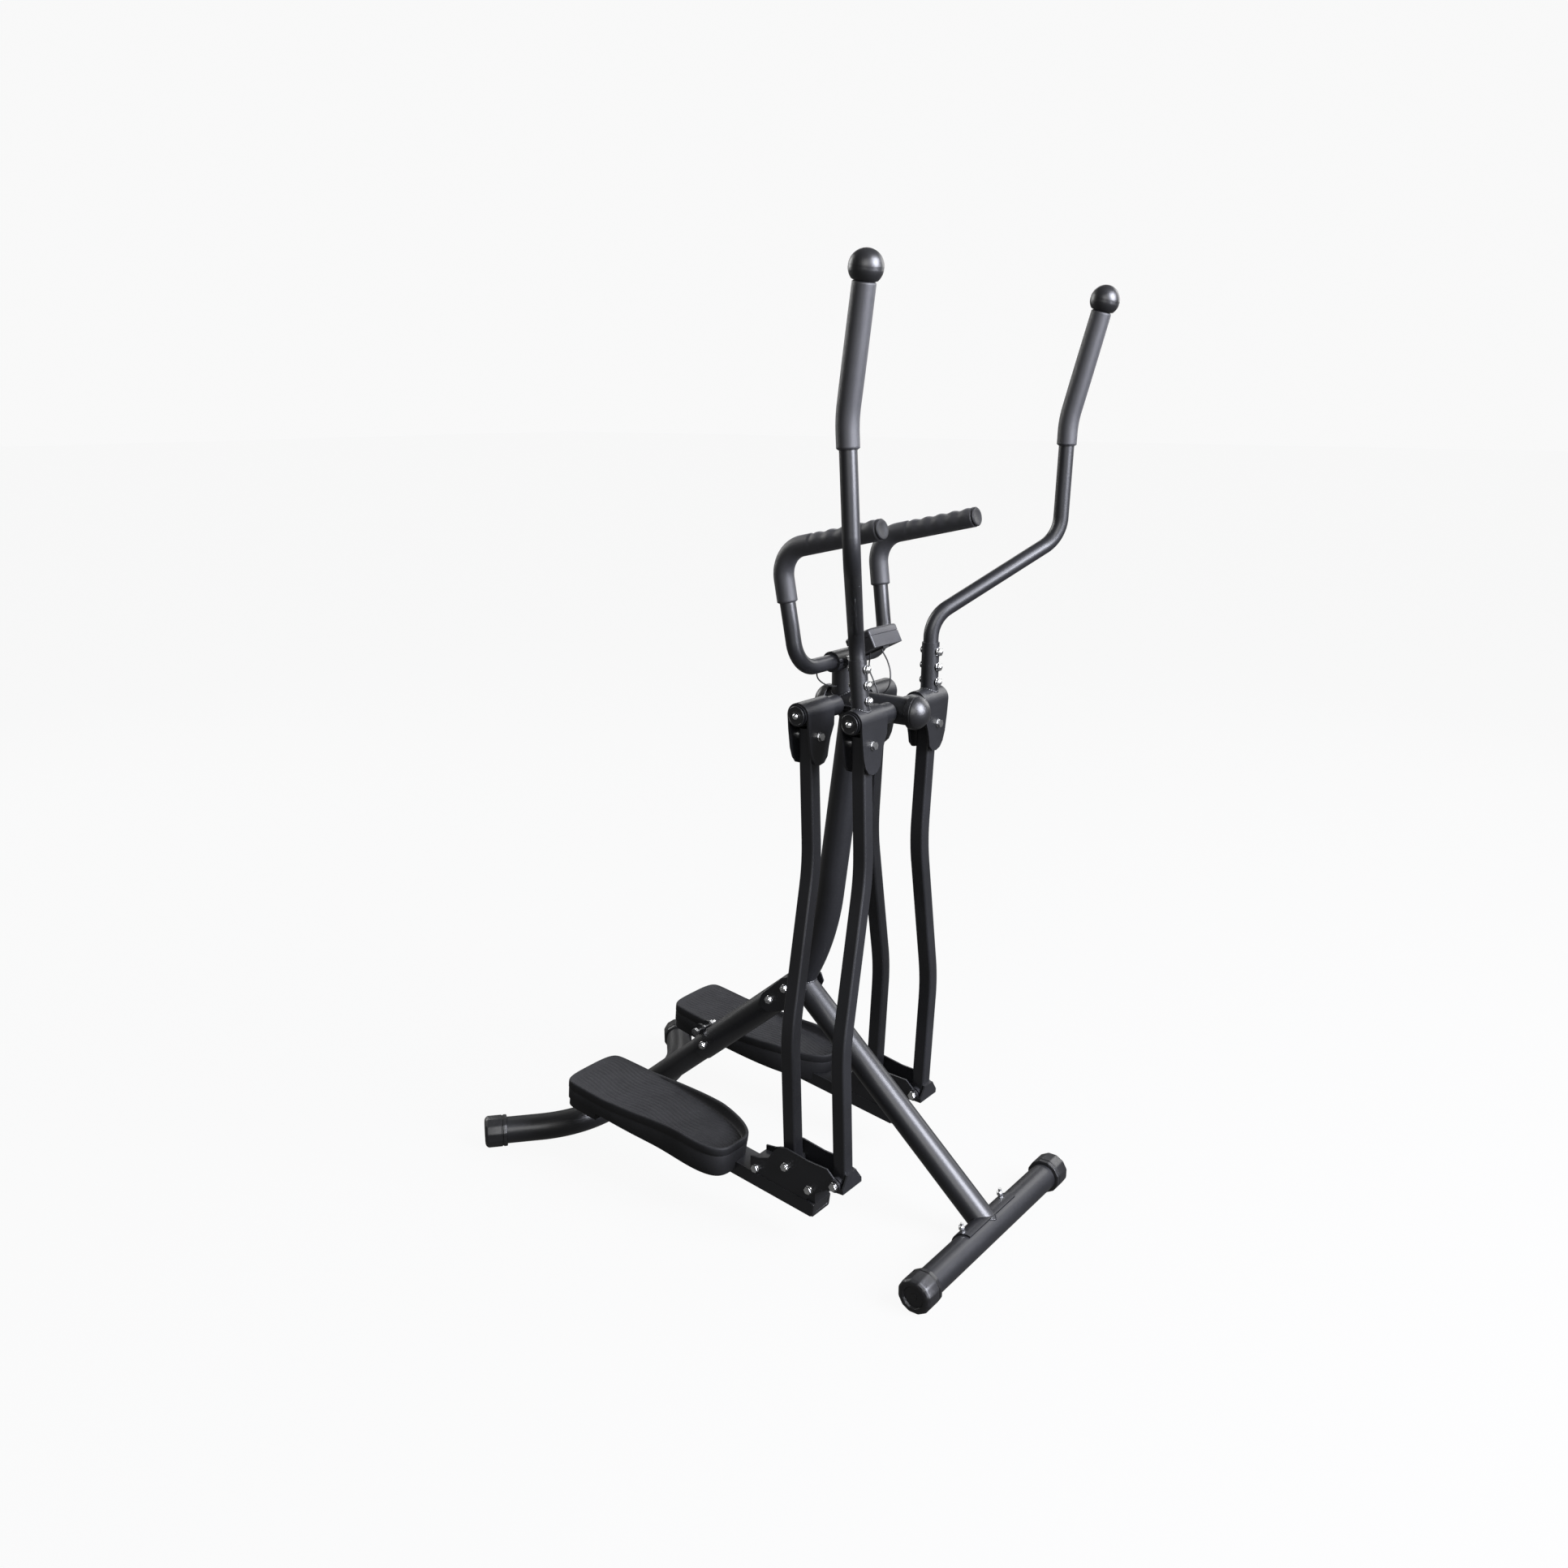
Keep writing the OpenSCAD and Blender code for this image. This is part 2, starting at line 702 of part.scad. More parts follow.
// Outline of the sole: t is 0 at the toe and 1 at the heel
function toe(t, n, m) = pow(1 - pow(1 - 2 * t, n), m);
function heel(t) = pow(1 - pow(2 * t - 1, 30), 0.3);
function inner_side(t) = -(pedal_w / 2) * (t < 0.5 ? toe(t, 3, 0.38) : heel(t))
    * (1.04 - 0.16 * pow(2 * t - 1.2, 2));
function outer_side(t) = (pedal_w / 2) * (t < 0.5 ? toe(t, 6, 0.2) : heel(t))
    * (1 - 0.06 * exp(-pow((t - 0.36) / 0.16, 2)));
function step(i) = (1 - cos(180 * i / sole_steps)) / 2;
sole_steps = 24;
function sole(inset) = let(k = 1 - 2 * inset / pedal_len, h = 1 - 2 * inset / pedal_w)
    concat([for (i = [0 : sole_steps]) [outer_side(step(i)) * h, pedal_len * (0.5 + (step(i) - 0.5) * k)]],
           [for (i = [sole_steps - 1 : -1 : 1])
                [inner_side(step(i)) * h, pedal_len * (0.5 + (step(i) - 0.5) * k)]]);

// The rim is highest round the toe and slopes down to the flat heel, which is thickened behind the bar
module pedal(s) {
    slope_from = pedal_len * 0.26;
    slope_to = pedal_len * 0.74;
    color(plastic) on_bar(s) translate([pedal_shift, pedal_front, 0]) difference() {
        union() {
            translate([0, 0, skirt_w]) linear_extrude(rim_w - skirt_w) polygon(sole(0));
            intersection() {
                translate([0, 0, -heel_drop]) linear_extrude(heel_drop + skirt_w + 1) polygon(sole(3));
                translate([-100, pedal_len - heel_block, -50]) cube([200, heel_block, 100]);
            }
        }
        translate([0, 0, tread_w]) linear_extrude(rim_w) polygon(sole(5));
        rotate([90, 0, 90]) translate([0, 0, -100]) linear_extrude(200) polygon([[slope_from, rim_w],
            [slope_to, heel_w], [pedal_len + 10, heel_w], [pedal_len + 10, rim_w + 10], [slope_from, rim_w + 10]]);
        translate([-bar_w / 2 - pedal_shift, -10, -1])
            cube([bar_w, bar_len - pedal_front + 14, bar_h + 1]);
    }
}

module bracket_bolt_cores(r) {
    for (p = lug_yz) x_rod(link_low_x - 40, link_low_x + 40, p[0], p[1], r);
}

module pedal_bar(s) {
    color(black) union() {
        on_bar(s) difference() {
            translate([-bar_w / 2, 4, 0]) cube([bar_w, bar_len - 8, bar_h]);
            translate([-bar_w / 2 + 2, 0, 2]) cube([bar_w - 4, bar_len, bar_h - 4]);
        }
        on_pedal(s) difference() {
            for (p = lug_yz) translate([link_low_x - bracket_in, p[0] - 11, 0]) difference() {
                translate([0, 0, -bar_drop]) cube([2 * bracket_in, 22, bar_drop + p[1] + 12]);
                translate([-1, p[0] * -1 + 11 + bar_front, -bar_drop]) rotate([pedal_pitch, 0, 0])
                    translate([0, -60, -60]) cube([60, 260, 60 + bar_h]);
            }
            bracket_bolt_cores(bolt_r + hole_gap);
        }
    }
}

module bar_plugs(s) {
    color(plastic) on_bar(s) for (end = [0, 1])
        translate([0, end * bar_len, bar_h / 2]) mirror([0, end, 0]) rotate([-90, 0, 0]) union() {
            rounded_box([bar_w, bar_h], 3, 4);
            rounded_box([bar_w - 4, bar_h - 4], 2, 18);
        }
}

// Two side plates that carry the link pivots above the bar
module pedal_bracket(s) {
    outline = [[-61, -5], [-59, 5], [-48, 11], [-34, 24], [3, 26], [46, 34], [62, 33], [74, 22], [86, 4],
        [104, -2], [124, -4], [124, -40], [60, -44], [14, -52], [-2, -37], [-12, -28], [-34, -14], [-50, -12]];
    color(black) on_pedal(s) difference() {
        for (x = [-bracket_in - bracket_t, bracket_in]) translate([link_low_x + x, 0, 0]) rotate([90, 0, 90])
            linear_extrude(bracket_t) polygon(outline);
        on_bar_frame() translate([-bar_w / 2, -40, -40]) cube([bar_w, bar_len, bar_h + 40]);
        for (y = [-1, 1]) x_rod(link_low_x - 40, link_low_x + 40, y * axle_gap / 2, 0, pivot_r);
        bracket_bolt_cores(bolt_r + hole_gap);
    }
}

module pedal_bolts(s) {
    face = bracket_in + bracket_t;
    ear_face = ear_in + ear_t + 0.4;
    color(steel) on_pedal(s) translate([link_low_x, 0, 0]) {
        for (y = [-1, 1]) {
            reach = y < 0 ? ear_face : face;
            x_rod(-reach, reach, y * axle_gap / 2, 0, pivot_r);
            for (m = [0, 1]) mirror([m, 0, 0]) translate([reach, y * axle_gap / 2, 0]) rotate([0, 90, 0])
                dome_nut(6.5, 5.5);
        }
        for (p = lug_yz) {
            x_rod(-face, face, p[0], p[1], bolt_r);
            for (m = [0, 1]) mirror([m, 0, 0])
                translate([face, p[0], p[1]]) rotate([0, 90, 0]) dome_nut(6.5, 5.5);
        }
    }
}

// ---------------------------------------------------------------- fixed handlebar

function mirrored(p) = [-p[0], p[1], p[2]];
full_bar = [bar_pts[0], bar_pts[1], bar_pts[2],
    mirrored(bar_pts[2]), mirrored(bar_pts[1]), mirrored(bar_pts[0])];
full_bends = [0, bar_bends[1], bar_bends[2], bar_bends[2], bar_bends[1], 0];

module fixed_handlebar() {
    color(black) run(full_bar, full_bends) ring(bar_d / 2, 2);
}

module fixed_grip(s) {
    down = heading(bar_pts, 1);
    collar = bar_pts[1] + down * (grip_collar_z - bar_pts[1][2]) / down[2];
    pts = [bar_pts[0], bar_pts[1], collar];
    color(foam) on_side(s)
        run(pts, [0, bar_bends[1], 0]) ring(fixed_grip_d / 2, (fixed_grip_d - bar_d) / 2 + grip_squeeze);
}

module fixed_grip_plugs() {
    out = -heading(bar_pts, 0);
    side = unit(cross(out, [0, 0, 1]));
    color([0.2, 0.2, 0.21]) for (s = [-1, 1]) on_side(s)
        multmatrix(frame(bar_pts[0], side, cross(out, side), out)) {
            cylinder(r = fixed_grip_d / 2 - 1, h = 4);
            translate([0, 0, -16]) cylinder(r = bar_d / 2 - 2, h = 16);
        }
}

module clamp_screw_places() {
    for (x = [-1, 1]) translate([x * 16, bar_y - 22, bar_mid_z]) children();
}

// Sleeve round the bar, slit at the front and pinched by two screws through its flanges
module bar_clamp() {
    color(black) difference() {
        union() {
            x_rod(-clamp_half, clamp_half, bar_y, bar_mid_z, clamp_r);
            translate([-24, bar_y - 28, bar_mid_z - 5]) cube([48, 28, 10]);
        }
        x_rod(-clamp_half - 1, clamp_half + 1, bar_y, bar_mid_z, bar_d / 2);
        translate([-50, bar_y - 40, bar_mid_z - 0.75]) cube([100, 40, 1.5]);
        clamp_screw_places() translate([0, 0, -20]) cylinder(r = 3.1, h = 40);
    }
}

module clamp_screws() {
    color(steel) clamp_screw_places() {
        translate([0, 0, -9]) cylinder(r = 3, h = 15);
        translate([0, 0, 5]) cylinder(r = 5.5, h = 4, $fn = 6);
        translate([0, 0, -9.5]) cylinder(r = 5.5, h = 4.5, $fn = 6);
    }
}

// ---------------------------------------------------------------- console

// Console frame: X across, Y up the face, Z out of the face towards the user
module on_console() {
    translate(console_at) rotate([0, 0, 180]) rotate([90 - console_tilt, 0, 0]) children();
}

module console_back() {
    color(plastic) on_console() difference() {
        rounded_box([console_w, console_l], 3, console_t * 0.6);
        translate([0, 0, 2.5]) rounded_box([console_w - 5, console_l - 5], 2, console_t);
    }
}

module console_front() {
    base = console_t * 0.6;
    color(plastic) on_console() difference() {
        translate([0, 0, base]) rounded_box([console_w, console_l], 3, console_t * 0.4);
        translate([0, 0, base - 1]) rounded_box([console_w - 5, console_l - 5], 2, console_t * 0.4 - 2);
        translate([0, lens_y, console_t - 1.6]) rounded_box([lens_w, lens_l], 2, 5);
        translate([0, lens_y, base]) rounded_box([lens_w - 6, lens_l - 6], 2, console_t);
        translate([button_at[0], button_at[1], base]) cylinder(r = button_r + 0.4, h = console_t);
    }
}

module console_lens() {
    color([0.35, 0.42, 0.38]) on_console() translate([0, lens_y, console_t - 1.6])
        rounded_box([lens_w, lens_l], 2, 1.4);
}

module console_button() {
    color([0.25, 0.25, 0.27]) on_console() translate([button_at[0], button_at[1], console_t - 6]) {
        cylinder(r = button_r, h = 8);
        cylinder(r = button_r + 2, h = 2);
    }
}

// Bent stay from the front flange of the clamp to the back of the console
module console_bracket() {
    flange_top = bar_mid_z + 5;
    lean = 90 - console_tilt;
    start = console_at + [0, 17 * cos(lean), -17 * sin(lean)];
    profile = [[bar_y - 17.5, flange_top], [bar_y - 17.5, flange_top + 2], [start[1] + 4, start[2] + 1],
        [start[1], start[2]], [console_at[1] - 18 * cos(lean), console_at[2] + 18 * sin(lean)],
        [console_at[1] - 18 * cos(lean) - 1.4, console_at[2] + 18 * sin(lean) - 2.7],
        [start[1] + 2, start[2] - 4], [bar_y - 26, flange_top]];
    color(black) difference() {
        translate([-8, 0, 0]) rotate([90, 0, 90]) linear_extrude(16) polygon(profile);
        on_console() translate([-50, -console_l / 2 - 0.3, 0]) cube([100, console_l + 0.6, 60]);
    }
}

// ---------------------------------------------------------------- leads

// Round lead swept along its route as one polyhedron
module lead(route, r) {
    sides = 8;
    n = len(route);
    rings = [for (i = [0 : n - 1]) let(
        d = unit(route[min(i + 1, n - 1)] - route[max(i - 1, 0)]),
        x = unit(cross(d, [0.3, 1, 0.2])), y = cross(d, x))
        each [for (k = [0 : sides - 1]) route[i] + r * (cos(360 * k / sides) * x + sin(360 * k / sides) * y)]];
    walls = [for (i = [0 : n - 2], k = [0 : sides - 1])
        [i * sides + k, i * sides + (k + 1) % sides, (i + 1) * sides + (k + 1) % sides, (i + 1) * sides + k]];
    polyhedron(rings, concat([[for (k = [sides - 1 : -1 : 0]) k]], walls,
        [[for (k = [0 : sides - 1]) (n - 1) * sides + k]]));
}

// Routes as x, y behind the hub centre and z
console_lead_routes = [
    [[11, -14, 989], [11, -15, 986.5], [11, -18, 982], [10, -22, 977.5], [9, -26, 972.5], [8, -29, 967],
        [7, -32, 961], [6, -34, 955], [5, -35, 949], [4, -35.5, 943], [3.5, -35, 937], [3, -33.5, 931.5],
        [2, -31, 926.5], [1, -28, 922.5], [0, -24.5, 919.9]],
    [[-11, -6, 985], [-11, -6, 982.5], [-10.8, -5.5, 978], [-10.4, -4.5, 973.5], [-9.8, -3.5, 969],
        [-9, -2.8, 964], [-8, -2.8, 959], [-7, -3.5, 954], [-6.2, -5, 949.5], [-5.5, -7, 945], [-5, -9.2, 940], [-4.5, -11.5, 935],
        [-4, -13.5, 930], [-3.5, -15.5, 925], [-3, -17, 920]]];
handlebar_lead_route = [[-76, 53, 955.3], [-75.7, 53, 952.6], [-74.6, 53, 949.6], [-72.6, 53, 946.7],
    [-69.8, 53, 944], [-66.4, 53, 941.4], [-62.5, 53, 938.9], [-58.2, 53, 936.6], [-53.6, 53, 934.4],
    [-48.7, 53, 932.4], [-43.5, 53, 930.6], [-38.1, 53, 929], [-32.5, 53, 927.6], [-26.6, 53, 926.5],
    [-20.3, 53, 925.6]];

module console_leads() {
    color(plastic) translate([0, hub_y, 0]) for (route = console_lead_routes) lead(route, 1.2);
}

module handlebar_lead() {
    color(plastic) translate([0, hub_y, 0]) lead(handlebar_lead_route, 1.2);
}

front_stabilizer();
front_stabilizer_caps();
rear_stabilizer();
rear_stabilizer_caps();
front_leg();
saddle_bolts();
rear_leg();
leg_bolts();
apex_bracket();
apex_bolts();
main_post();
top_beam();
hub_caps();
axles();
axle_bolts();
bar_clamp();
clamp_screws();
fixed_handlebar();
fixed_grip(-1);  // fixed_grip_right
fixed_grip(1);  // fixed_grip_left
fixed_grip_plugs();
console_bracket();
console_back();
console_front();
console_lens();
console_button();
console_leads();
handlebar_lead();
front_hanger(-1);  // front_hanger_right
bushings(-1, -1);  // front_bushings_right
front_link(-1);  // front_link_right
front_bolts(-1);  // front_bolts_right
arm(-1);  // arm_right
arm_grip(-1);  // arm_grip_right
arm_cap(-1);  // arm_cap_right
rear_hanger(-1);  // rear_hanger_right
bushings(-1, 1);  // rear_bushings_right
rear_link(-1);  // rear_link_right
rear_bolt(-1);  // rear_bolt_right
pedal_bar(-1);  // pedal_bar_right
bar_plugs(-1);  // bar_plugs_right
pedal_bracket(-1);  // pedal_bracket_right
pedal_bolts(-1);  // pedal_bolts_right
pedal(-1);  // pedal_right
front_hanger(1);  // front_hanger_left
bushings(1, -1);  // front_bushings_left
front_link(1);  // front_link_left
front_bolts(1);  // front_bolts_left
arm(1);  // arm_left
arm_grip(1);  // arm_grip_left
arm_cap(1);  // arm_cap_left
rear_hanger(1);  // rear_hanger_left
bushings(1, 1);  // rear_bushings_left
rear_link(1);  // rear_link_left
rear_bolt(1);  // rear_bolt_left
pedal_bar(1);  // pedal_bar_left
bar_plugs(1);  // bar_plugs_left
pedal_bracket(1);  // pedal_bracket_left
pedal_bolts(1);  // pedal_bolts_left
pedal(1);  // pedal_left
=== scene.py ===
import bpy, bmesh, json, math
from mathutils import Matrix, Vector


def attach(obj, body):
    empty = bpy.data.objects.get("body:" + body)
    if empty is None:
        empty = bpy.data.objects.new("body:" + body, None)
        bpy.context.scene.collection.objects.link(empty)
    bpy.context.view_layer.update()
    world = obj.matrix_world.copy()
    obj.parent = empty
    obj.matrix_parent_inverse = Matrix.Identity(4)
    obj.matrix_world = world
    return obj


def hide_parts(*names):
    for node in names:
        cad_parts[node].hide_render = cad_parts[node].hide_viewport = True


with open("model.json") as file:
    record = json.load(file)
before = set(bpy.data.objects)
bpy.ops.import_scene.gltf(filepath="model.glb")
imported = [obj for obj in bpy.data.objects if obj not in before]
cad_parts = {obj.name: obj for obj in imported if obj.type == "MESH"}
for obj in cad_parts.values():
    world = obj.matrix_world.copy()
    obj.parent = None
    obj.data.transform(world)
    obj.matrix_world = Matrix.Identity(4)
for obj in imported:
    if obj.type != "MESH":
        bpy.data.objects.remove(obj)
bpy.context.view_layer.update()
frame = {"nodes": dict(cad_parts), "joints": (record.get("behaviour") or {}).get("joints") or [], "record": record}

nodes = frame["nodes"]
SIDES = (("right", -1), ("left", 1))


# ---------------------------------------------------------------- materials

MIX_A, MIX_B, MIX_RESULT = 6, 7, 2      # the colour sockets of a Mix node
DUST_SHOWS = 0.08                       # how much of the dust's colour comes through
SHADE_ENDS = (0.3, 0.7)                 # where a shade of noise turns fully dark and light


class Shader:
    """A material being put together: nodes go in by type, inputs are set or linked by name."""

    def __init__(self, name):
        self.mat = bpy.data.materials.new(name)
        self.mat.use_nodes = True
        self.tree = self.mat.node_tree
        self.bsdf = self.tree.nodes["Principled BSDF"]
        self.where = self.add("ShaderNodeTexCoord").outputs["Object"]

    def add(self, kind, inputs=None, **props):
        node = self.tree.nodes.new(kind)
        for key, value in props.items():
            setattr(node, key, value)
        for key, value in (inputs or {}).items():
            self.plug(node.inputs[key], value)
        return node

    def plug(self, socket, value):
        if isinstance(value, bpy.types.NodeSocket):
            self.tree.links.new(value, socket)
        else:
            socket.default_value = value

    def set(self, **inputs):
        """Sets the main shader's inputs, with _ for a space in their names."""
        for key, value in inputs.items():
            self.plug(self.bsdf.inputs[key.replace("_", " ")], value)

    def noise(self, scale, detail, rough=0.55, vector=None):
        inputs = {"Vector": vector or self.where, "Scale": scale, "Detail": detail,
                  "Roughness": rough}
        return self.add("ShaderNodeTexNoise", inputs).outputs["Fac"]

    def cells(self, scale):
        inputs = {"Vector": self.where, "Scale": scale}
        return self.add("ShaderNodeTexVoronoi", inputs, feature="F1").outputs["Distance"]

    def ramp(self, value, dark, light, ends=SHADE_ENDS):
        """Goes from a dark to a light colour between two values."""
        node = self.add("ShaderNodeValToRGB", {"Fac": value})
        for stop, at, colour in zip(node.color_ramp.elements, ends, (dark, light)):
            stop.position = at
            stop.color = (*colour, 1)
        return node.outputs["Color"]

    def spread(self, value, low, high, start=0.0):
        """Maps start to 1 onto low to high."""
        inputs = {"Value": value, "From Min": start, "From Max": 1.0,
                  "To Min": low, "To Max": high}
        return self.add("ShaderNodeMapRange", inputs).outputs["Result"]

    def maths(self, operation, a, b):
        node = self.add("ShaderNodeMath", operation=operation)
        self.plug(node.inputs[0], a)
        self.plug(node.inputs[1], b)
        return node.outputs[0]

    def mix(self, fac, a, b):
        node = self.add("ShaderNodeMix", data_type="RGBA")
        self.plug(node.inputs["Factor"], fac)
        self.plug(node.inputs[MIX_A], a)
        self.plug(node.inputs[MIX_B], b)
        return node.outputs[MIX_RESULT]

    def bump(self, height, strength, distance, under=None):
        inputs = {"Height": height, "Strength": strength, "Distance": distance}
        if under is not None:
            inputs["Normal"] = under
        return self.add("ShaderNodeBump", inputs).outputs["Normal"]

    def stretched(self, *scale):
        inputs = {"Vector": self.where, "Scale": scale}
        return self.add("ShaderNodeMapping", inputs).outputs["Vector"]

    def dust(self, scale):
        """A little settled dust, 0 to 1: patches of noise where the surface faces up."""
        normal = self.add("ShaderNodeNewGeometry").outputs["Normal"]
        height = self.add("ShaderNodeSeparateXYZ", {"Vector": normal}).outputs["Z"]
        facing_up = self.spread(height, 0.0, 1.0, start=0.35)
        return self.maths("MULTIPLY", facing_up, self.noise(scale, 5.0, 0.7))


def powder_coat():
    """Satin black paint: clouded tone, settled dust, a fine texture over a slow orange peel."""
    s = Shader("powder_coat")
    tone = s.ramp(s.noise(9.0, 4.0), (0.0040, 0.0041, 0.0048), (0.0075, 0.0077, 0.0090))
    dust = s.dust(34.0)
    gloss = s.spread(s.noise(260.0, 2.0), 0.35, 0.46)
    peel = s.bump(s.noise(140.0, 1.0), strength=0.03, distance=0.0010)
    s.set(Base_Color=s.mix(s.maths("MULTIPLY", dust, DUST_SHOWS), tone, (0.06, 0.06, 0.063, 1)),
          Roughness=s.maths("ADD", gloss, s.maths("MULTIPLY", dust, 0.12)),
          Normal=s.bump(s.noise(700.0, 2.0), strength=0.16, distance=0.0004, under=peel),
          Specular_IOR_Level=0.42, Coat_Weight=0.10, Coat_Roughness=0.16)
    return s.mat


def moulded(name, dark, light, rough, grain, depth, shine=0.25):
    """Moulded plastic or rubber with a fine leather-like grain, so many cells to the metre."""
    s = Shader(name)
    tone = s.ramp(s.noise(14.0, 4.0), dark, light)
    dust = s.maths("MULTIPLY", s.dust(40.0), DUST_SHOWS)
    soft = s.bump(s.noise(grain / 4, 3.0), strength=depth * 0.6, distance=0.0006)
    s.set(Base_Color=s.mix(dust, tone, (0.11, 0.11, 0.11, 1)),
          Roughness=s.spread(s.noise(60.0, 3.0), rough - 0.05, rough + 0.09),
          Normal=s.bump(s.cells(grain), strength=depth, distance=0.0004, under=soft),
          Specular_IOR_Level=shine)
    return s.mat


def zinc():
    """Bright zinc plate with a drawn, slightly cloudy surface."""
    s = Shader("bright_zinc")
    drawn = s.noise(1500.0, 2.0, vector=s.stretched(1, 1, 4))
    s.set(Base_Color=s.ramp(s.noise(120.0, 4.0), (0.60, 0.605, 0.62), (0.80, 0.80, 0.79)),
          Metallic=1.0, Roughness=s.spread(s.noise(420.0, 4.0), 0.14, 0.34),
          Normal=s.bump(drawn, strength=0.12, distance=0.0003))
    return s.mat


def foam():
    """Closed-cell foam: painted shade darkens the pore hollows, a skin is worn lighter in patches, and a faint
    sheen.
    """
    s = Shader("grip_foam")
    pore_depth_and_shade = s.cells(2300.0)
    # The foam's own dark grey, with painted shade darkening the colour down into each pore hollow
    tone = s.ramp(pore_depth_and_shade, (0.005, 0.005, 0.0055), (0.014, 0.014, 0.016), ends=(0.05, 0.45))
    worn = s.spread(s.noise(18.0, 4.0), 0.0, 0.35)
    skin = s.bump(s.noise(420.0, 4.0), strength=0.25, distance=0.0005)
    s.set(Base_Color=s.mix(worn, tone, (0.022, 0.0225, 0.0250, 1)),
          Roughness=s.spread(s.noise(220.0, 3.0), 0.44, 0.56),
          Normal=s.bump(pore_depth_and_shade, strength=0.35, distance=0.0004, under=skin),
          Specular_IOR_Level=0.45, Sheen_Weight=0.05, Sheen_Roughness=0.5)
    return s.mat


def display():
    """Clear glossy cover over a blank grey-green display."""
    s = Shader("display_cover")
    s.set(Base_Color=s.ramp(s.noise(80.0, 3.0), (0.10, 0.115, 0.10), (0.13, 0.145, 0.125)),
          Roughness=s.spread(s.noise(200.0, 3.0), 0.06, 0.14),
          Coat_Weight=1.0, Coat_Roughness=0.04)
    return s.mat


PAINT = powder_coat()
PLASTIC = moulded("moulded_black", (0.0040, 0.0040, 0.0044), (0.0075, 0.0075, 0.0080),
                  rough=0.34, grain=1600.0, depth=0.22, shine=0.5)
PEDAL = moulded("pedal_moulding", (0.0060, 0.0060, 0.0066), (0.0110, 0.0110, 0.0120),
                rough=0.60, grain=1300.0, depth=0.25, shine=0.20)
CASE = moulded("console_case", (0.010, 0.010, 0.011), (0.016, 0.016, 0.018),
               rough=0.40, grain=2200.0, depth=0.25, shine=0.4)
KEY = moulded("key_grey", (0.06, 0.06, 0.065), (0.08, 0.08, 0.085),
              rough=0.45, grain=2600.0, depth=0.2)
PLUG = moulded("plug_black", (0.004, 0.004, 0.0045), (0.007, 0.007, 0.0075),
               rough=0.42, grain=2000.0, depth=0.25)
SHEATH = moulded("lead_sheath", (0.010, 0.010, 0.010), (0.016, 0.016, 0.016),
                 rough=0.38, grain=3000.0, depth=0.1)
BUSH = moulded("bushing_nylon", (0.016, 0.016, 0.017), (0.022, 0.022, 0.024),
               rough=0.40, grain=2400.0, depth=0.15)
STEEL = zinc()
FOAM = foam()
GLASS = display()
SLOT_LOOK = {"frame_paint": PAINT, "black_plastic": PLASTIC, "zinc_steel": STEEL, "foam": FOAM,
             "pedal_plastic": PEDAL, "display": GLASS, "button": KEY, "lead": SHEATH}
OWN_LOOK = {"console_back": CASE, "console_front": CASE, "fixed_grip_plugs": PLUG}

for row in frame["record"]["subparts"]:
    node = row["node"]
    look = BUSH if "bushings" in node else OWN_LOOK.get(node, SLOT_LOOK[row["material_slot"]])
    for material_slot in nodes[node].material_slots:
        material_slot.material = look


# ---------------------------------------------------------------- mesh tools

MM = 0.001
UP = Vector((0, 0, 1))
PATH_GAP = 0.002                        # between the points of a swept path
POINT = 1e-5                            # radius at which a lathed dome closes


def mm(*numbers):
    return Vector(numbers) * MM


def finish_piece(name, body, bm, material, stands_for=(), smooth=60.0):
    """Turns a bmesh into a piece that rides on a body, stands for CAD nodes and has its material.

    Edges sharper than the angle smooth, in degrees, stay sharp.
    """
    bmesh.ops.recalc_face_normals(bm, faces=bm.faces)
    me = bpy.data.meshes.new(name)
    bm.to_mesh(me)
    bm.free()
    o = bpy.data.objects.new(name, me)
    bpy.context.collection.objects.link(o)
    me.materials.append(material)
    for face in me.polygons:
        face.use_smooth = True
    me.set_sharp_from_angle(angle=math.radians(smooth))
    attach(o, body)
    if stands_for:
        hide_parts(*stands_for)


def loft(bm, rings, closed=False):
    """Skins rings of equal length; an unclosed loft is capped at both ends."""
    rows = [[bm.verts.new(p) for p in ring] for ring in rings]
    n = len(rows[0])
    for i in range(len(rows) if closed else len(rows) - 1):
        a, b = rows[i], rows[(i + 1) % len(rows)]
        for k in range(n):
            bm.faces.new((a[k], a[(k + 1) % n], b[(k + 1) % n], b[k]))
    if not closed:
        bm.faces.new(rows[0])
        bm.faces.new(rows[-1])


def across(axis):
    """Two unit vectors square to an axis."""
    u = axis.cross(Vector((0, 1, 0)) if abs(axis.y) < 0.9 else Vector((1, 0, 0))).normalized()
    return u, axis.cross(u).normalized()


def lathe(bm, profile, origin, axis, sides=64, shape=lambda angle: 1.0):
    """Turns (radius, height) points round an axis; shape varies the radius with the angle."""
    u, v = across(axis)
    rings = []
    for r, h in profile:
        ring = []
        for k in range(sides):
            a = 2 * math.pi * k / sides
            ring.append(origin + axis * h + (u * math.cos(a) + v * math.sin(a)) * r * shape(a))
        rings.append(ring)
    loft(bm, rings)


def straight(a, b):
    steps = max(1, int((b - a).length / PATH_GAP))
    return [a.lerp(b, k / steps) for k in range(steps)]


def rounded_path(points, bends):
    """Evenly spaced points along straight stretches joined by round bends of given radii."""
    stops = []
    last = points[0]
    for i in range(1, len(points) - 1):
        u = (points[i] - points[i - 1]).normalized()
        w = (points[i + 1] - points[i]).normalized()
        turn = u.angle(w)
        trim = bends[i] * math.tan(turn / 2)
        start = points[i] - u * trim
        stops += straight(last, start)
        side = (w - u * w.dot(u)).normalized()
        centre = start + side * bends[i]
        steps = max(4, int(turn * bends[i] / PATH_GAP))
        for k in range(steps):
            a = turn * k / steps
            stops.append(centre - side * bends[i] * math.cos(a) + u * bends[i] * math.sin(a))
        last = points[i] + w * trim
    return stops + straight(last, points[-1]) + [points[-1]]


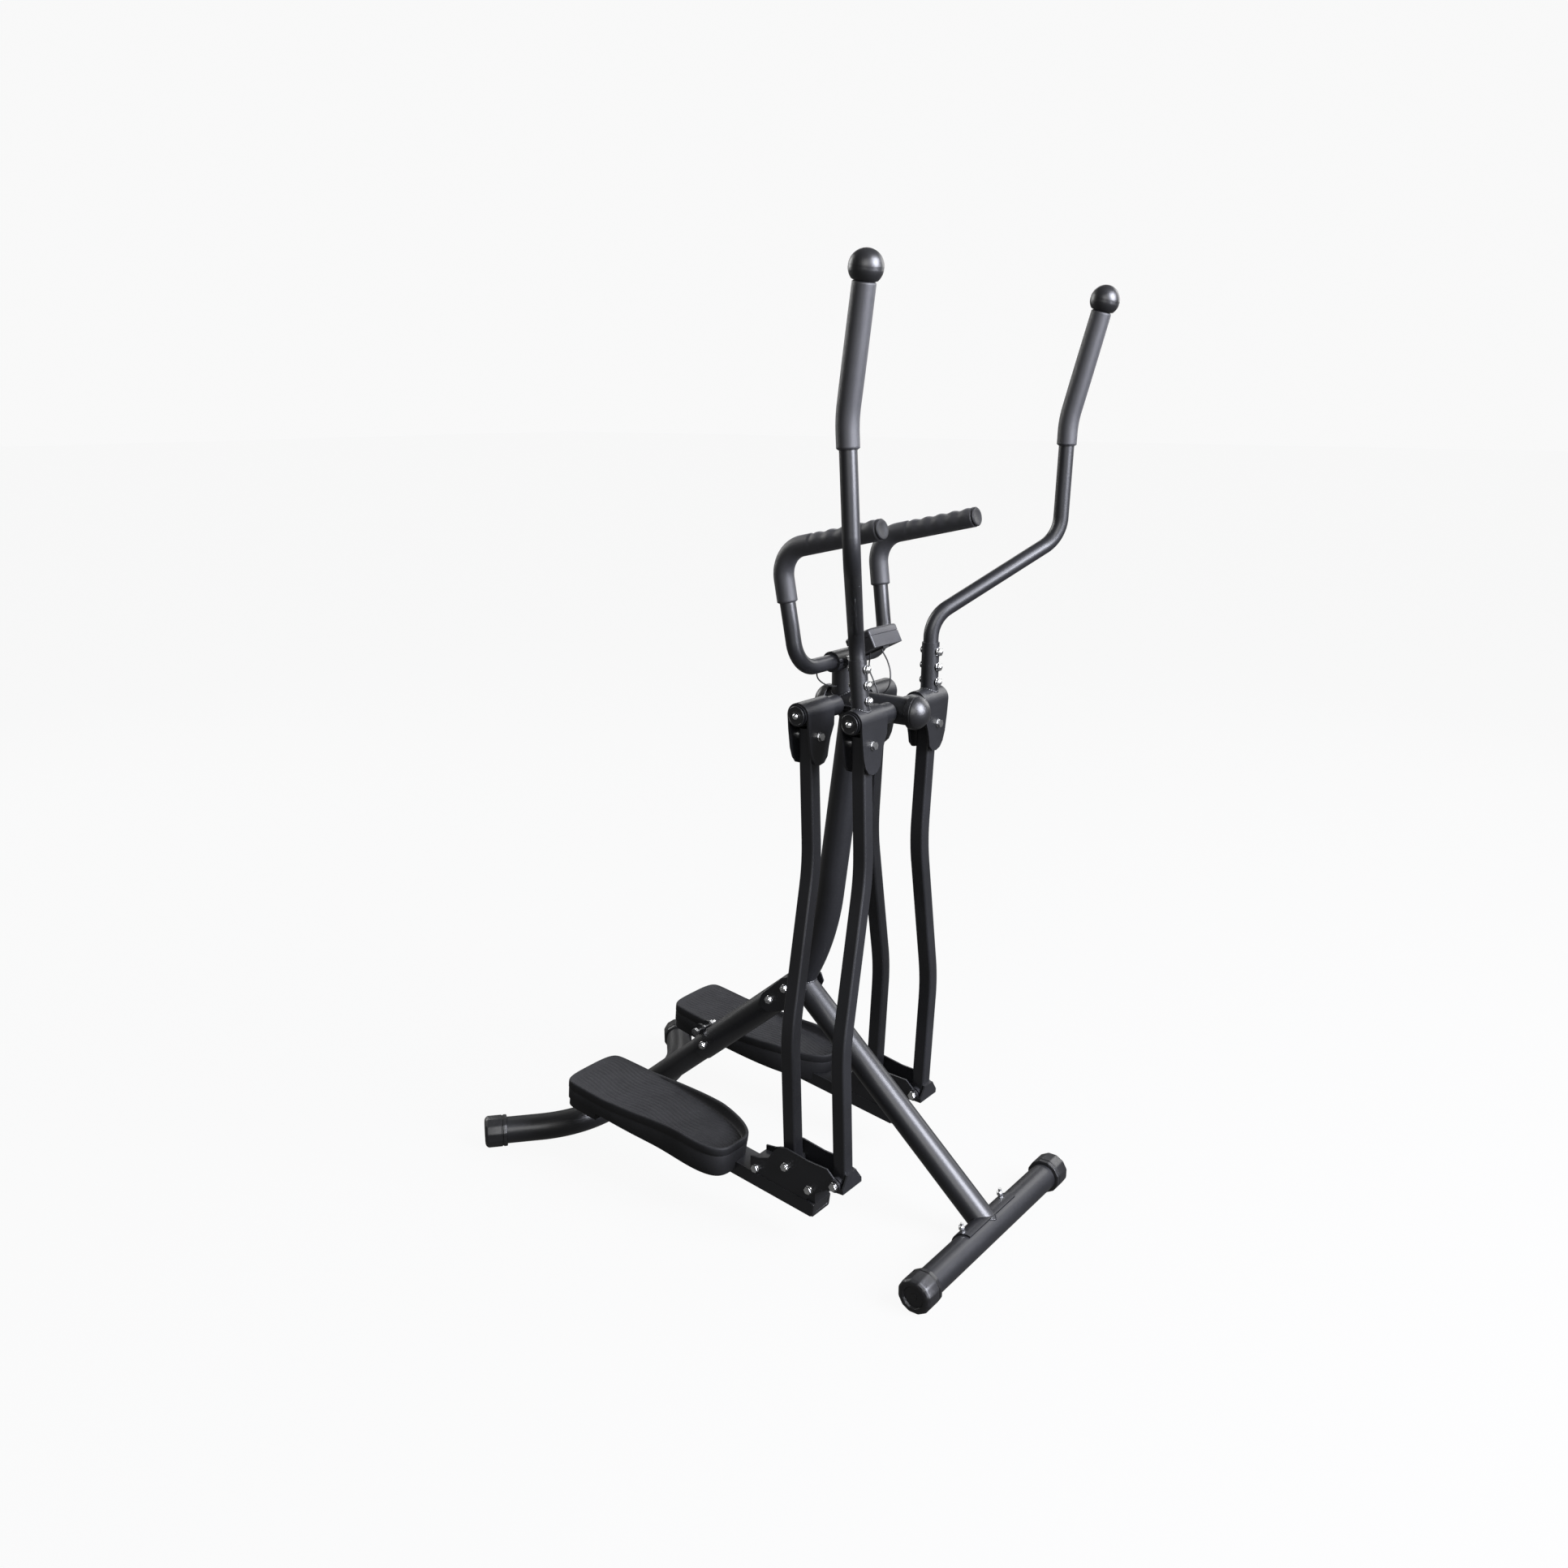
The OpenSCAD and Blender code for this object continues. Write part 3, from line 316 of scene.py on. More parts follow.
def sweep(bm, path, radius, sides, start_side=None):
    """Sweeps a ring along a path; radius takes the distance along it and the angle round it."""
    end = len(path) - 1
    tangents = [(path[min(i + 1, end)] - path[max(i - 1, 0)]).normalized()
                for i in range(len(path))]
    u = start_side or across(tangents[0])[0]
    rings, run = [], 0.0
    for i, (p, t) in enumerate(zip(path, tangents)):
        u = (u - t * u.dot(t)).normalized()
        v = t.cross(u)
        if i:
            run += (p - path[i - 1]).length
        rings.append([p + (u * math.cos(a) + v * math.sin(a)) * radius(run, a)
                      for a in (2 * math.pi * k / sides for k in range(sides))])
    loft(bm, rings)


def path_length(path):
    return sum((b - a).length for a, b in zip(path, path[1:]))


def smooth_step(x):
    x = min(max(x, 0.0), 1.0)
    return x * x * (3 - 2 * x)


# ---------------------------------------------------------------- places taken from the frame

LINK_LOW_X = 0.173                      # the bar, measured from the middle of the machine
BAR_FRONT, BAR_DROP, PITCH = -0.006, 0.075, math.radians(8.3)

joints = {j["name"]: j for j in frame["joints"]}
AXLE = {end: Vector(joints["right_%s_swing" % end]["pos_m"]) for end in ("front", "rear")}
HUB = (AXLE["front"] + AXLE["rear"]) / 2
HUB.x = 0
GAP = AXLE["rear"].y - AXLE["front"].y


def swing(side):
    """How far a side hangs from straight down at rest, midway between its limits."""
    low, high = joints[side + "_front_swing"]["range_deg"]
    return math.radians(-(low + high) / 2)


def pedal_pivot(side):
    return Vector(joints[side + "_pedal_pivot"]["pos_m"])


def on_link(side, sign, end="front"):
    """The frame of a link, hung from its axle."""
    flip = Matrix.Diagonal((sign, 1, 1, 1))
    return Matrix.Translation(AXLE[end]) @ flip @ Matrix.Rotation(swing(side), 4, "X")


def on_bar(side, sign):
    """The pedal bar's frame: origin at its lower front edge, Y along the bar."""
    low = pedal_pivot(side) + Vector((0, GAP / 2 + BAR_FRONT, -BAR_DROP))
    low.x = sign * LINK_LOW_X
    flip = Matrix.Diagonal((sign, 1, 1, 1))
    return Matrix.Translation(low) @ flip @ Matrix.Rotation(PITCH, 4, "X")


def behind_hub(p):
    """A point given as x, distance behind the hub and height above the floor."""
    return Vector((p.x, HUB.y + p.y, p.z))


# ---------------------------------------------------------------- pedals

SOLE_L, SOLE_W = 0.362, 0.136
SOLE_FROM, SOLE_SHIFT = 0.166, 0.011    # along the bar, and outwards from its middle
SKIRT, TREAD, HEEL, RIM = 0.009, 0.045, 0.047, 0.065    # heights above the bar's underside
TREAD_UNDER, TREAD_TOP = TREAD - 0.004, TREAD + 0.0002
RIM_FALLS = (0.26, 0.74)                # where the rim comes down to the heel, as shares
LIP = 0.0165                            # from the rim's top down to the step in its side
HEEL_BLOCK, HEEL_DROP, HEEL_INSET = 0.076, 0.006, 0.003
RIB_GAP, RIB_DEPTH, RIB_WAVE, RIB_SWAY = 0.0084, 0.0013, 0.150, 0.0065
RIB_FADE_SIDE, RIB_FADE_END = 0.010, 0.014
TREAD_INSET, TREAD_ROWS, TREAD_COLS = 0.0100, 96, 150
STIFFENERS, STIFFENER_T, STIFFENER_FROM = 7, 0.0022, 0.0265     # how many, how thick, from x
STIFFENER_FIRST, STIFFENER_STEP = 0.16, 0.12            # along the sole, as shares
SOLE_STATIONS, HEEL_STATIONS = 72, 24


def rounding(t, fall, root):
    """Narrows the sole at its ends: a toe of its own shape on each side, and a square heel."""
    if t < 0.5:
        return (1 - (1 - 2 * t) ** fall) ** root
    return (1 - (2 * t - 1) ** 30) ** 0.3


def inner_edge(t):
    """The side by the machine, from toe at 0 to heel at 1: a long round toe, and
    fullest behind the middle."""
    return -SOLE_W / 2 * rounding(t, 3, 0.38) * (1.04 - 0.16 * (2 * t - 1.2) ** 2)


def outer_edge(t):
    """The other side: a short round toe and a slight waist."""
    return SOLE_W / 2 * rounding(t, 6, 0.2) * (1 - 0.06 * math.exp(-((t - 0.36) / 0.16) ** 2))


def drawn_in(x, t, inset):
    """Where a point at x and t of the outline lies when the outline is drawn in."""
    grow_y, grow_x = 1 - 2 * inset / SOLE_L, 1 - 2 * inset / SOLE_W
    return x * grow_x, SOLE_L * (0.5 + (t - 0.5) * grow_y)


def sole(inset, height):
    """The pedal's outline, drawn in by an inset, at a height that may follow the length."""
    steps = [(1 - math.cos(math.pi * i / SOLE_STATIONS)) / 2 for i in range(SOLE_STATIONS + 1)]
    way = [(outer_edge(t), t) for t in steps] + [(inner_edge(t), t) for t in reversed(steps[1:-1])]
    ring = []
    for x, t in way:
        x, y = drawn_in(x, t, inset)
        ring.append(Vector((x, y, height(y))))
    return ring


def rim_height(y):
    low, high = RIM_FALLS[0] * SOLE_L, RIM_FALLS[1] * SOLE_L
    return RIM - (RIM - HEEL) * min(max((y - low) / (high - low), 0.0), 1.0)


def level(z):
    return lambda y: z


def below_rim(drop):
    return lambda y: max(rim_height(y) - drop, SKIRT + 0.003)


def rim_inside(y):
    return max(rim_height(y) - 0.005, TREAD + 0.0009)


def rim_foot(y):
    """The fillet between rim and tread, which flattens out towards the heel."""
    return TREAD + 0.0035 * (rim_height(y) - HEEL) / (RIM - HEEL) + 0.0004


def pedal(side, sign):
    """Moulded sole: stepped skirt, rounded rim that fades into the heel, and wavy ribbed tread."""
    levels = [
        (0.0042, level(TREAD_UNDER)), (0.0040, level(SKIRT)),               # inner face
        (0.0022, level(SKIRT)), (0.0012, level(SKIRT + 0.0015)),            # skirt's lower edge
        (0.0006, below_rim(LIP + 0.0016)), (0.0014, below_rim(LIP)),        # step under the lip
        (0.0002, below_rim(LIP - 0.0016)), (0.0, below_rim(0.006)),
        (0.0001, below_rim(0.0026)), (0.0009, below_rim(0.0009)),           # rounded top
        (0.0022, below_rim(0.0001)), (0.0036, below_rim(0.0001)), (0.0052, below_rim(0.0012)),
        (0.0063, rim_inside), (0.0078, rim_foot),                           # down to the tread
        (0.0105, level(TREAD_TOP)), (0.013, level(TREAD - 0.0006)), (0.013, level(TREAD_UNDER))]
    bm = bmesh.new()
    loft(bm, [sole(inset, height) for inset, height in levels], closed=True)
    ribbed_tread(bm)
    underside(bm)
    heel_block(bm)
    place = on_bar(side, sign) @ Matrix.Translation((SOLE_SHIFT, SOLE_FROM, 0))
    bmesh.ops.transform(bm, matrix=place, verts=bm.verts)
    finish_piece("pedal_sole_" + side, "pedal_" + side, bm, PEDAL,
                 ["pedal_" + side], smooth=50)


def ribbed_tread(bm):
    """The floor between the rims: wavy lengthwise ribs that die out at the edge, over a flat
    underside. The edges of both sheets are buried in the rim."""
    top, low = [], []
    for i in range(TREAD_ROWS + 1):
        t = 0.004 + 0.992 * i / TREAD_ROWS      # short of the ends, where the outline closes
        a, y = drawn_in(inner_edge(t), t, TREAD_INSET)
        b, y = drawn_in(outer_edge(t), t, TREAD_INSET)
        sway = RIB_SWAY * math.sin(2 * math.pi * y / RIB_WAVE)
        line, under = [], []
        for k in range(TREAD_COLS + 1):
            x = a + (b - a) * k / TREAD_COLS
            edge = min(k, TREAD_COLS - k) / TREAD_COLS * (b - a)
            fade = (smooth_step(edge / RIB_FADE_SIDE)
                    * smooth_step(min(t, 1 - t) * SOLE_L / RIB_FADE_END))
            ridge = abs(math.sin(2 * math.pi * (x + sway) / RIB_GAP / 2)) ** 0.6
            line.append(bm.verts.new((x, y, TREAD_TOP - RIB_DEPTH * fade * (1 - ridge))))
            under.append(bm.verts.new((x, y, TREAD_UNDER)))
        top.append(line)
        low.append(under)
    for i in range(TREAD_ROWS):
        for k in range(TREAD_COLS):
            bm.faces.new((top[i][k], top[i][k + 1], top[i + 1][k + 1], top[i + 1][k]))
            bm.faces.new((low[i][k], low[i + 1][k], low[i + 1][k + 1], low[i][k + 1]))


def heel_block(bm):
    """The thickened heel under the skirt, drawn in all round, its lower edge rounded."""
    first = 1 - HEEL_BLOCK / SOLE_L
    steps = [first + (1 - first) * math.sin(math.pi / 2 * i / HEEL_STATIONS)
             for i in range(HEEL_STATIONS + 1)]
    way = [(outer_edge(t), t) for t in steps] + [(inner_edge(t), t) for t in reversed(steps[:-1])]
    rings = []
    for inset, z in ((0.0, SKIRT + 0.002), (0.0, 0.002 - HEEL_DROP), (0.0006, 0.0006 - HEEL_DROP),
                     (0.0020, -HEEL_DROP)):
        rings.append([Vector((*drawn_in(x, t, inset + HEEL_INSET), z)) for x, t in way])
    loft(bm, rings)


def underside(bm):
    """Stiffening ribs under the tread, on both sides of the bar."""
    low, high, wall = SKIRT + 0.004, TREAD - 0.003, 0.003
    for i in range(STIFFENERS):
        t = STIFFENER_FIRST + STIFFENER_STEP * i
        y = SOLE_L * t
        for a, b in ((inner_edge(t) + wall, -STIFFENER_FROM - SOLE_SHIFT),
                     (STIFFENER_FROM - SOLE_SHIFT, outer_edge(t) - wall)):
            ring = [Vector((x, y, z)) for x, z in ((a, low), (b, low), (b, high), (a, high))]
            loft(bm, [ring, [p + Vector((0, STIFFENER_T, 0)) for p in ring]])


# ---------------------------------------------------------------- grips and round caps

ARM_D, ARM_GRIP_D, BALL_D = 0.025, 0.033, 0.047
ARM_KNEE, ARM_ELBOW, ARM_END = mm(295, -116, 267), mm(296, -112, 455), mm(305, -150, 640)
ELBOW_BEND, ARM_GRIP_FOOT = 0.160, 0.415
BALL_LIFT, BALL_NECK, BALL_FROM = 0.0025, 0.014, -42    # metres, metres and degrees
BAR_D, FIXED_GRIP_D = 0.025, 0.033
BAR_TOP = [mm(141, -105, 1196), mm(137, 81, 1154), mm(128, 53, 968)]    # end, bend and foot
BAR_BEND, FIXED_GRIP_FOOT = 0.048, 1.074
GRIP_END_ROUND, GRIP_END_GAP = 0.0022, 0.0006
HAND, SWELLS, SWELL_DEPTH = 0.125, 5, 0.0022


def rounded_ends(run, length, full, tube_d):
    """The radius of a sleeve whose two end edges are rounded down to the tube."""
    near = min(run, length - run)
    if near <= 1e-6:
        return tube_d / 2 + GRIP_END_GAP
    off = 1 - min(near / GRIP_END_ROUND, 1.0)
    return full - GRIP_END_ROUND * (1 - math.sqrt(max(0.0, 1 - off ** 2)))


def arm_grip(side, sign):
    """Foam sleeve round the elbow of the moving arm, a little fuller at its middle."""
    place = on_link(side, sign)
    up = (ARM_ELBOW - ARM_KNEE).normalized()
    start = ARM_KNEE + up * (ARM_GRIP_FOOT - ARM_KNEE.z) / up.z
    lean = (ARM_END - ARM_ELBOW).normalized()
    bend = rounded_path([start, ARM_ELBOW, ARM_END - lean * BALL_NECK], [0, ELBOW_BEND, 0])
    path = [place @ p for p in bend]
    length = path_length(path)

    def radius(run, angle):
        waist = 0.0004 * (1 - math.sin(math.pi * run / length))
        return rounded_ends(run, length, ARM_GRIP_D / 2 - waist, ARM_D)

    bm = bmesh.new()
    sweep(bm, path, radius, sides=48)
    finish_piece("foam_grip_" + side, "front_link_" + side, bm, FOAM,
                 ["arm_grip_" + side], smooth=70)


def arm_cap(side, sign):
    """Round cap with a neck ring and a parting line round its widest place."""
    place = on_link(side, sign)
    lean = (place.to_3x3() @ (ARM_END - ARM_ELBOW)).normalized()
    neck, edge, steps = ARM_GRIP_D / 2, 0.0008, 32
    profile = [(ARM_D / 2 + 0.0004, -BALL_NECK), (neck - edge, -BALL_NECK),
               (neck, -BALL_NECK + edge)]
    for i in range(steps + 1):
        degrees = BALL_FROM + (90 - BALL_FROM) * i / steps
        a = math.radians(degrees)
        r = BALL_D / 2 - 0.00035 * math.exp(-(degrees / 1.4) ** 2)
        profile.append((r * math.cos(a) + POINT, BALL_LIFT + r * math.sin(a)))
    bm = bmesh.new()
    lathe(bm, profile, place @ ARM_END, lean)
    finish_piece("round_cap_" + side, "front_link_" + side, bm, PLASTIC,
                 ["arm_cap_" + side], smooth=40)


def bar_corners(sign):
    """The end, bend and foot of one side of the fixed handlebar."""
    return [behind_hub(Vector((sign * p.x, p.y, p.z))) for p in BAR_TOP]


def fixed_grip(side, sign):
    """Foam grip round the bar's bend, with finger swells along the top of its straight part."""
    end, bend, foot = bar_corners(sign)
    down = (foot - bend).normalized()
    stop = bend + down * (FIXED_GRIP_FOOT - bend.z) / down.z
    path = rounded_path([end, bend, stop], [0, BAR_BEND, 0])
    length = path_length(path)

    def radius(run, angle):
        r = FIXED_GRIP_D / 2 - 0.0003
        if run < HAND:
            swell = 0.5 - 0.5 * math.cos(2 * math.pi * run / (HAND / SWELLS))
            top = (0.5 + 0.5 * math.cos(angle)) ** 2
            r -= SWELL_DEPTH * (1 - swell) * smooth_step(run / 0.008) * top
        return rounded_ends(run, length, r, BAR_D)

    bm = bmesh.new()
    sweep(bm, path, radius, sides=56, start_side=UP)
    finish_piece("bar_grip_" + side, "stand", bm, FOAM, ["fixed_grip_" + side],
                 smooth=70)


def grip_plugs():
    """Domed end plugs with a recessed middle."""
    r, stem = FIXED_GRIP_D / 2 - 0.001, BAR_D / 2 - 0.002
    profile = [(stem, -0.014), (stem, 0.0001), (r - 0.0006, 0.0002), (r, 0.001), (r, 0.0022),
               (r - 0.0012, 0.0036), (r - 0.004, 0.004), (r - 0.006, 0.0034), (0.0004, 0.0030)]
    bm = bmesh.new()
    for sign in (-1, 1):
        end, bend, foot = bar_corners(sign)
        lathe(bm, profile, end, (end - bend).normalized())
    finish_piece("grip_end_plugs", "stand", bm, PLUG, ["fixed_grip_plugs"],
                 smooth=35)


# ---------------------------------------------------------------- caps and plugs

TUBE_R, BOW_R = 0.024, 0.025
CAP_FLAT = 0.0295                       # to a flat of the end caps, which rest on the floor
FOOT_Z = CAP_FLAT
FRONT_Y, REAR_Y = HUB.y - 0.254, HUB.y + 0.553
STABILIZER_END, CAP_IN = 0.236, 0.034
BOW_CORNER, BOW_END, BOW_ANGLE = 0.147, 0.276, math.radians(42)
BEAM_R, BEAM_FRONT, BEAM_REAR = 0.0225, -0.090, 0.084
BEAM_CAP_R, BEAM_CAP_H, BEAM_SKIRT = 0.0275, 0.020, 0.010
AXLE_HALF = 0.135
BAR_W, BAR_H, BAR_LEN = 0.050, 0.025, 0.430


def from_flat(angle, sides):
    """The angle from the middle of the nearest flat of a regular polygon."""
    step = 2 * math.pi / sides
    return (angle + step / 2) % step - step / 2


def twelve_sided(angle):
    """Radius of a twelve-sided ring over that of its flats, with the corners eased."""
    return min(1 / math.cos(from_flat(angle, 12)), 1.0285)


def end_cap(bm, tube_r, origin, axis):
    """Twelve-sided foot cap: a rolled mouth, a groove, and a rounded end with a dished face."""
    f = CAP_FLAT
    mouth = [(tube_r + 0.0002, 0.0), (f - 0.0026, 0.0), (f - 0.0004, 0.0008), (f, 0.0022)]
    groove = [(f, 0.0068), (f - 0.0013, 0.0080), (f - 0.0013, 0.0092), (f, 0.0104)]
    end = [(f, 0.0352), (f - 0.0007, 0.0372), (f - 0.0030, 0.0400), (f - 0.0060, 0.0415),
           (f - 0.0085, 0.0420), (f - 0.0108, 0.0416), (f - 0.0122, 0.0398), (f - 0.0128, 0.0386)]
    face = [(0.0060, 0.0384), (0.0056, 0.0392), (0.0004, 0.0393)]
    lathe(bm, mouth + groove + end + face, origin, axis, sides=96, shape=twelve_sided)


def foot_caps():
    front, rear = bmesh.new(), bmesh.new()
    for sign in (-1, 1):
        at = Vector((sign * (STABILIZER_END - CAP_IN), FRONT_Y, FOOT_Z))
        end_cap(front, TUBE_R, at, Vector((sign, 0, 0)))
        x = BOW_END - CAP_IN * math.cos(BOW_ANGLE)
        at = Vector((sign * x, REAR_Y + (x - BOW_CORNER) * math.tan(BOW_ANGLE), FOOT_Z))
        end_cap(rear, BOW_R, at, Vector((sign * math.cos(BOW_ANGLE), math.sin(BOW_ANGLE), 0)))
    for end, bm in (("front", front), ("rear", rear)):
        finish_piece(end + "_foot_caps", "stand", bm, PLASTIC,
                     [end + "_stabilizer_caps"], smooth=24)


def hub_trim():
    """Domed beam caps with a skirt and a seam, and dished washers over the axles' ends."""
    bm = bmesh.new()
    r, h, skirt, steps = BEAM_CAP_R, BEAM_CAP_H, BEAM_SKIRT, 18
    dome = [(BEAM_R + 0.0001, -skirt), (r - 0.0008, -skirt), (r, -skirt + 0.0008),
            (r, -0.0006), (r - 0.0005, 0.0), (r - 0.0006, 0.0006)]
    ball = (r * r + h * h) / (2 * h)
    foot = 0.0014
    first = math.asin((ball - h + foot) / ball)
    for i in range(steps + 1):
        a = first + (math.pi / 2 - first) * i / steps
        dome.append((ball * math.cos(a) + POINT, h - ball + ball * math.sin(a)))
    for at, way in ((BEAM_FRONT, -1), (BEAM_REAR, 1)):
        lathe(bm, dome, Vector((0, HUB.y + at, HUB.z)), Vector((0, way, 0)), sides=72)
    washer = [(0.0046, 0.0), (0.0154, 0.0), (0.0160, 0.0005), (0.0160, 0.0014), (0.0155, 0.0020),
              (0.0140, 0.0020), (0.0134, 0.0015), (0.0076, 0.0014), (0.0070, 0.0019),
              (0.0046, 0.0020)]
    for sign in (-1, 1):
        for axle in AXLE.values():
            lathe(bm, washer, Vector((sign * AXLE_HALF, axle.y, HUB.z)), Vector((sign, 0, 0)))
    finish_piece("hub_trim", "stand", bm, PLASTIC, ["hub_caps"], smooth=35)


def rounded_rect(width, length, r, corner=6):
    """Points of a rounded rectangle, anticlockwise."""
    ring = []
    for q, (sx, sy) in enumerate(((1, 1), (-1, 1), (-1, -1), (1, -1))):
        for k in range(corner + 1):
            a = math.pi / 2 * (q + k / corner)
            ring.append((sx * (width / 2 - r) + r * math.cos(a),
                         sy * (length / 2 - r) + r * math.sin(a)))
    return ring


def bar_plugs(side, sign):
    """Pressed-in plugs with rounded faces at both ends of the pedal bar."""
    place = on_bar(side, sign)
    profile = ((0.0022, 0.018), (0.0022, 0.0042), (0.0, 0.0040), (0.0, 0.0016),
               (0.0004, 0.0006), (0.0014, 0.0), (0.0060, 0.0), (0.0066, 0.0007))
    bm = bmesh.new()
    for at, out in ((0.0, 1), (BAR_LEN, -1)):
        rings = []
        for inset, depth in profile:
            ring = rounded_rect(BAR_W - 2 * inset, BAR_H - 2 * inset, 0.0032)
            rings.append([place @ Vector((x, at + out * depth, BAR_H / 2 + z)) for x, z in ring])
        loft(bm, rings)
    finish_piece("bar_ends_" + side, "pedal_" + side, bm, PLASTIC,
                 ["bar_plugs_" + side], smooth=35)


# ---------------------------------------------------------------- welds

POST = [mm(0, 152, 358), mm(0, 87.5, 470), mm(0, 30, 884)]
LEG_TOP, LEG_R, STEM_R = mm(0, 135, 379), TUBE_R - 0.0004, 0.023
NECK_Y, NECK_R = 53, 0.019              # the handlebar's neck: mm behind the hub, and radius
SOCKET_R, WRAP_R = 0.0145, 0.0205
ARM_FOOT, ARM_BEND = mm(102, 1, 16), mm(104, 7, 136)
BEAD_R, BEAD_STEPS, BEAD_SIDES = 0.0017, 160, 8
RIPPLE, RIPPLE_PITCH, UNEVEN, UNEVEN_RATE = 0.16, 0.0034, 0.08, 911


def weld(bm, main, main_axis, main_r, start, way, r, place=None):
    """A rippled bead where a round branch leaves a round main tube."""
    u, v = across(way)
    path, normals = [], []
    for k in range(BEAD_STEPS):
        a = 2 * math.pi * k / BEAD_STEPS
        n = u * math.cos(a) + v * math.sin(a)
        s = start + n * r - main
        d = way - main_axis * way.dot(main_axis)
        s = s - main_axis * s.dot(main_axis)
        qa, qb, qc = d.dot(d), 2 * s.dot(d), s.dot(s) - main_r ** 2
        t = (-qb + math.sqrt(max(0.0, qb * qb - 4 * qa * qc))) / (2 * qa)
        path.append(start + n * r + way * t)
        normals.append(n)
    rings, run = [], 0.0
    for k in range(BEAD_STEPS):
        t = (path[(k + 1) % BEAD_STEPS] - path[k - 1]).normalized()
        b = t.cross(normals[k]).normalized()
        run += (path[k] - path[k - 1]).length
        fat = BEAD_R * (1 + RIPPLE * math.sin(2 * math.pi * run / RIPPLE_PITCH)
                        + UNEVEN * math.sin(run * UNEVEN_RATE))
        rings.append([path[k] + (normals[k] * math.cos(c) + b * math.sin(c)) * fat
                      for c in (2 * math.pi * j / BEAD_SIDES for j in range(BEAD_SIDES))])
    if place:
        rings = [[place @ p for p in ring] for ring in rings]
    loft(bm, rings, closed=True)


def stand_welds():
    """The beads at the handlebar's neck, the post's top, the legs' feet and the front leg's top."""
    x, y = Vector((1, 0, 0)), Vector((0, 1, 0))
    foot, heel = Vector((0, FRONT_Y, FOOT_Z)), Vector((0, REAR_Y, FOOT_Z))
    neck = behind_hub(mm(0, NECK_Y, HUB.z / MM))
    top = behind_hub(LEG_TOP)
    low, mid, high = [behind_hub(p) for p in POST]
    bm = bmesh.new()
    weld(bm, HUB, y, BEAM_R, neck, UP, NECK_R)
    weld(bm, HUB, y, BEAM_R, high, (mid - high).normalized(), TUBE_R)
    weld(bm, foot, x, TUBE_R, foot, (top - foot).normalized(), LEG_R)
    weld(bm, heel, x, BOW_R, heel, (top - heel).normalized(), STEM_R)
    weld(bm, low, (mid - low).normalized(), TUBE_R, top, (foot - top).normalized(), LEG_R)
    finish_piece("stand_welds", "stand", bm, PAINT)


def link_welds(side, sign):
    """The bead where the arm's socket leaves the front hanger."""
    bm = bmesh.new()
    weld(bm, Vector(), Vector((1, 0, 0)), WRAP_R, ARM_FOOT, (ARM_BEND - ARM_FOOT).normalized(),
         SOCKET_R, place=on_link(side, sign))
    finish_piece("socket_weld_" + side, "front_link_" + side, bm, PAINT)


# ---------------------------------------------------------------- nuts

NUT_R = 0.0065
APEX_HALF, APEX_NUTS = 28, ((153, 370), (187, 340))     # in mm: across, then behind and up
LEG_PIN = (25.3, 346, 205)                              # in mm: across, behind and up
LINK_TOP_X, PLATE_BOLT_Z = 0.102, -0.037
ARM_NUTS_Z = (0.032, 0.057, 0.082)
BAR_NUTS = ((0, 0, 0.0278), (GAP, 0, 0.024), (GAP / 2 + 0.002, -0.026, 0.024),
            (GAP / 2 + 0.113, -0.024, 0.024))   # behind the front pivot, above it, half width


def hexagon(angle):
    return 1 / math.cos(from_flat(angle, 6))


def nut_skirt(bm, origin, axis):
    """Washer and chamfered hexagon round the foot of a domed nut."""
    bore, r, flat = 0.002, NUT_R, NUT_R * 0.96
    lathe(bm, [(bore, 0.0), (r * 1.08, 0.0), (r * 1.12, 0.0003), (r * 1.12, 0.0007),
               (r * 1.08, 0.0010), (bore, 0.0010)], origin, axis, sides=48)
    lathe(bm, [(bore, 0.0010), (flat * 0.97, 0.0010), (flat, 0.0015), (flat, 0.0046),
               (flat * 0.95, 0.0052), (bore, 0.0054)], origin, axis, sides=60, shape=hexagon)


def stand_nuts():
    bm = bmesh.new()
    for x in (-1, 1):
        for y, z in APEX_NUTS:
            nut_skirt(bm, behind_hub(mm(x * APEX_HALF, y, z)), Vector((x, 0, 0)))
        out, y, z = LEG_PIN
        nut_skirt(bm, behind_hub(mm(x * out, y, z)), Vector((x, 0, 0)))
    finish_piece("stand_nuts", "stand", bm, STEEL, smooth=25)


def link_nuts(side, sign, end):
    """The nut of a hanger's plates, and on the front one those of the arm's socket."""
    place = on_link(side, sign, end)
    turn = place.to_3x3()
    bm = bmesh.new()
    nut_skirt(bm, place @ Vector((LINK_TOP_X, WRAP_R, PLATE_BOLT_Z)), turn @ Vector((0, 1, 0)))
    if end == "front":
        for z in ARM_NUTS_Z:
            at = ARM_FOOT.lerp(ARM_BEND, (z - ARM_FOOT.z) / (ARM_BEND.z - ARM_FOOT.z))
            nut_skirt(bm, place @ (at - Vector((0, SOCKET_R + 0.0005, 0))),
                      turn @ Vector((0, -1, 0)))
    finish_piece("%s_nuts_%s" % (end, side), "%s_link_%s" % (end, side), bm, STEEL,
                 smooth=25)


def pedal_nuts(side, sign):
    """The nuts of the two pivots and of the two cross bolts, at both ends of each."""
    low = pedal_pivot(side)
    bm = bmesh.new()
    for y, z, out in BAR_NUTS:
        for m in (-1, 1):
            at = Vector((sign * LINK_LOW_X + m * out, low.y + y, low.z + z))
            nut_skirt(bm, at, Vector((m, 0, 0)))
    finish_piece("pedal_nuts_" + side, "pedal_" + side, bm, STEEL, smooth=25)


# ---------------------------------------------------------------- console and leads

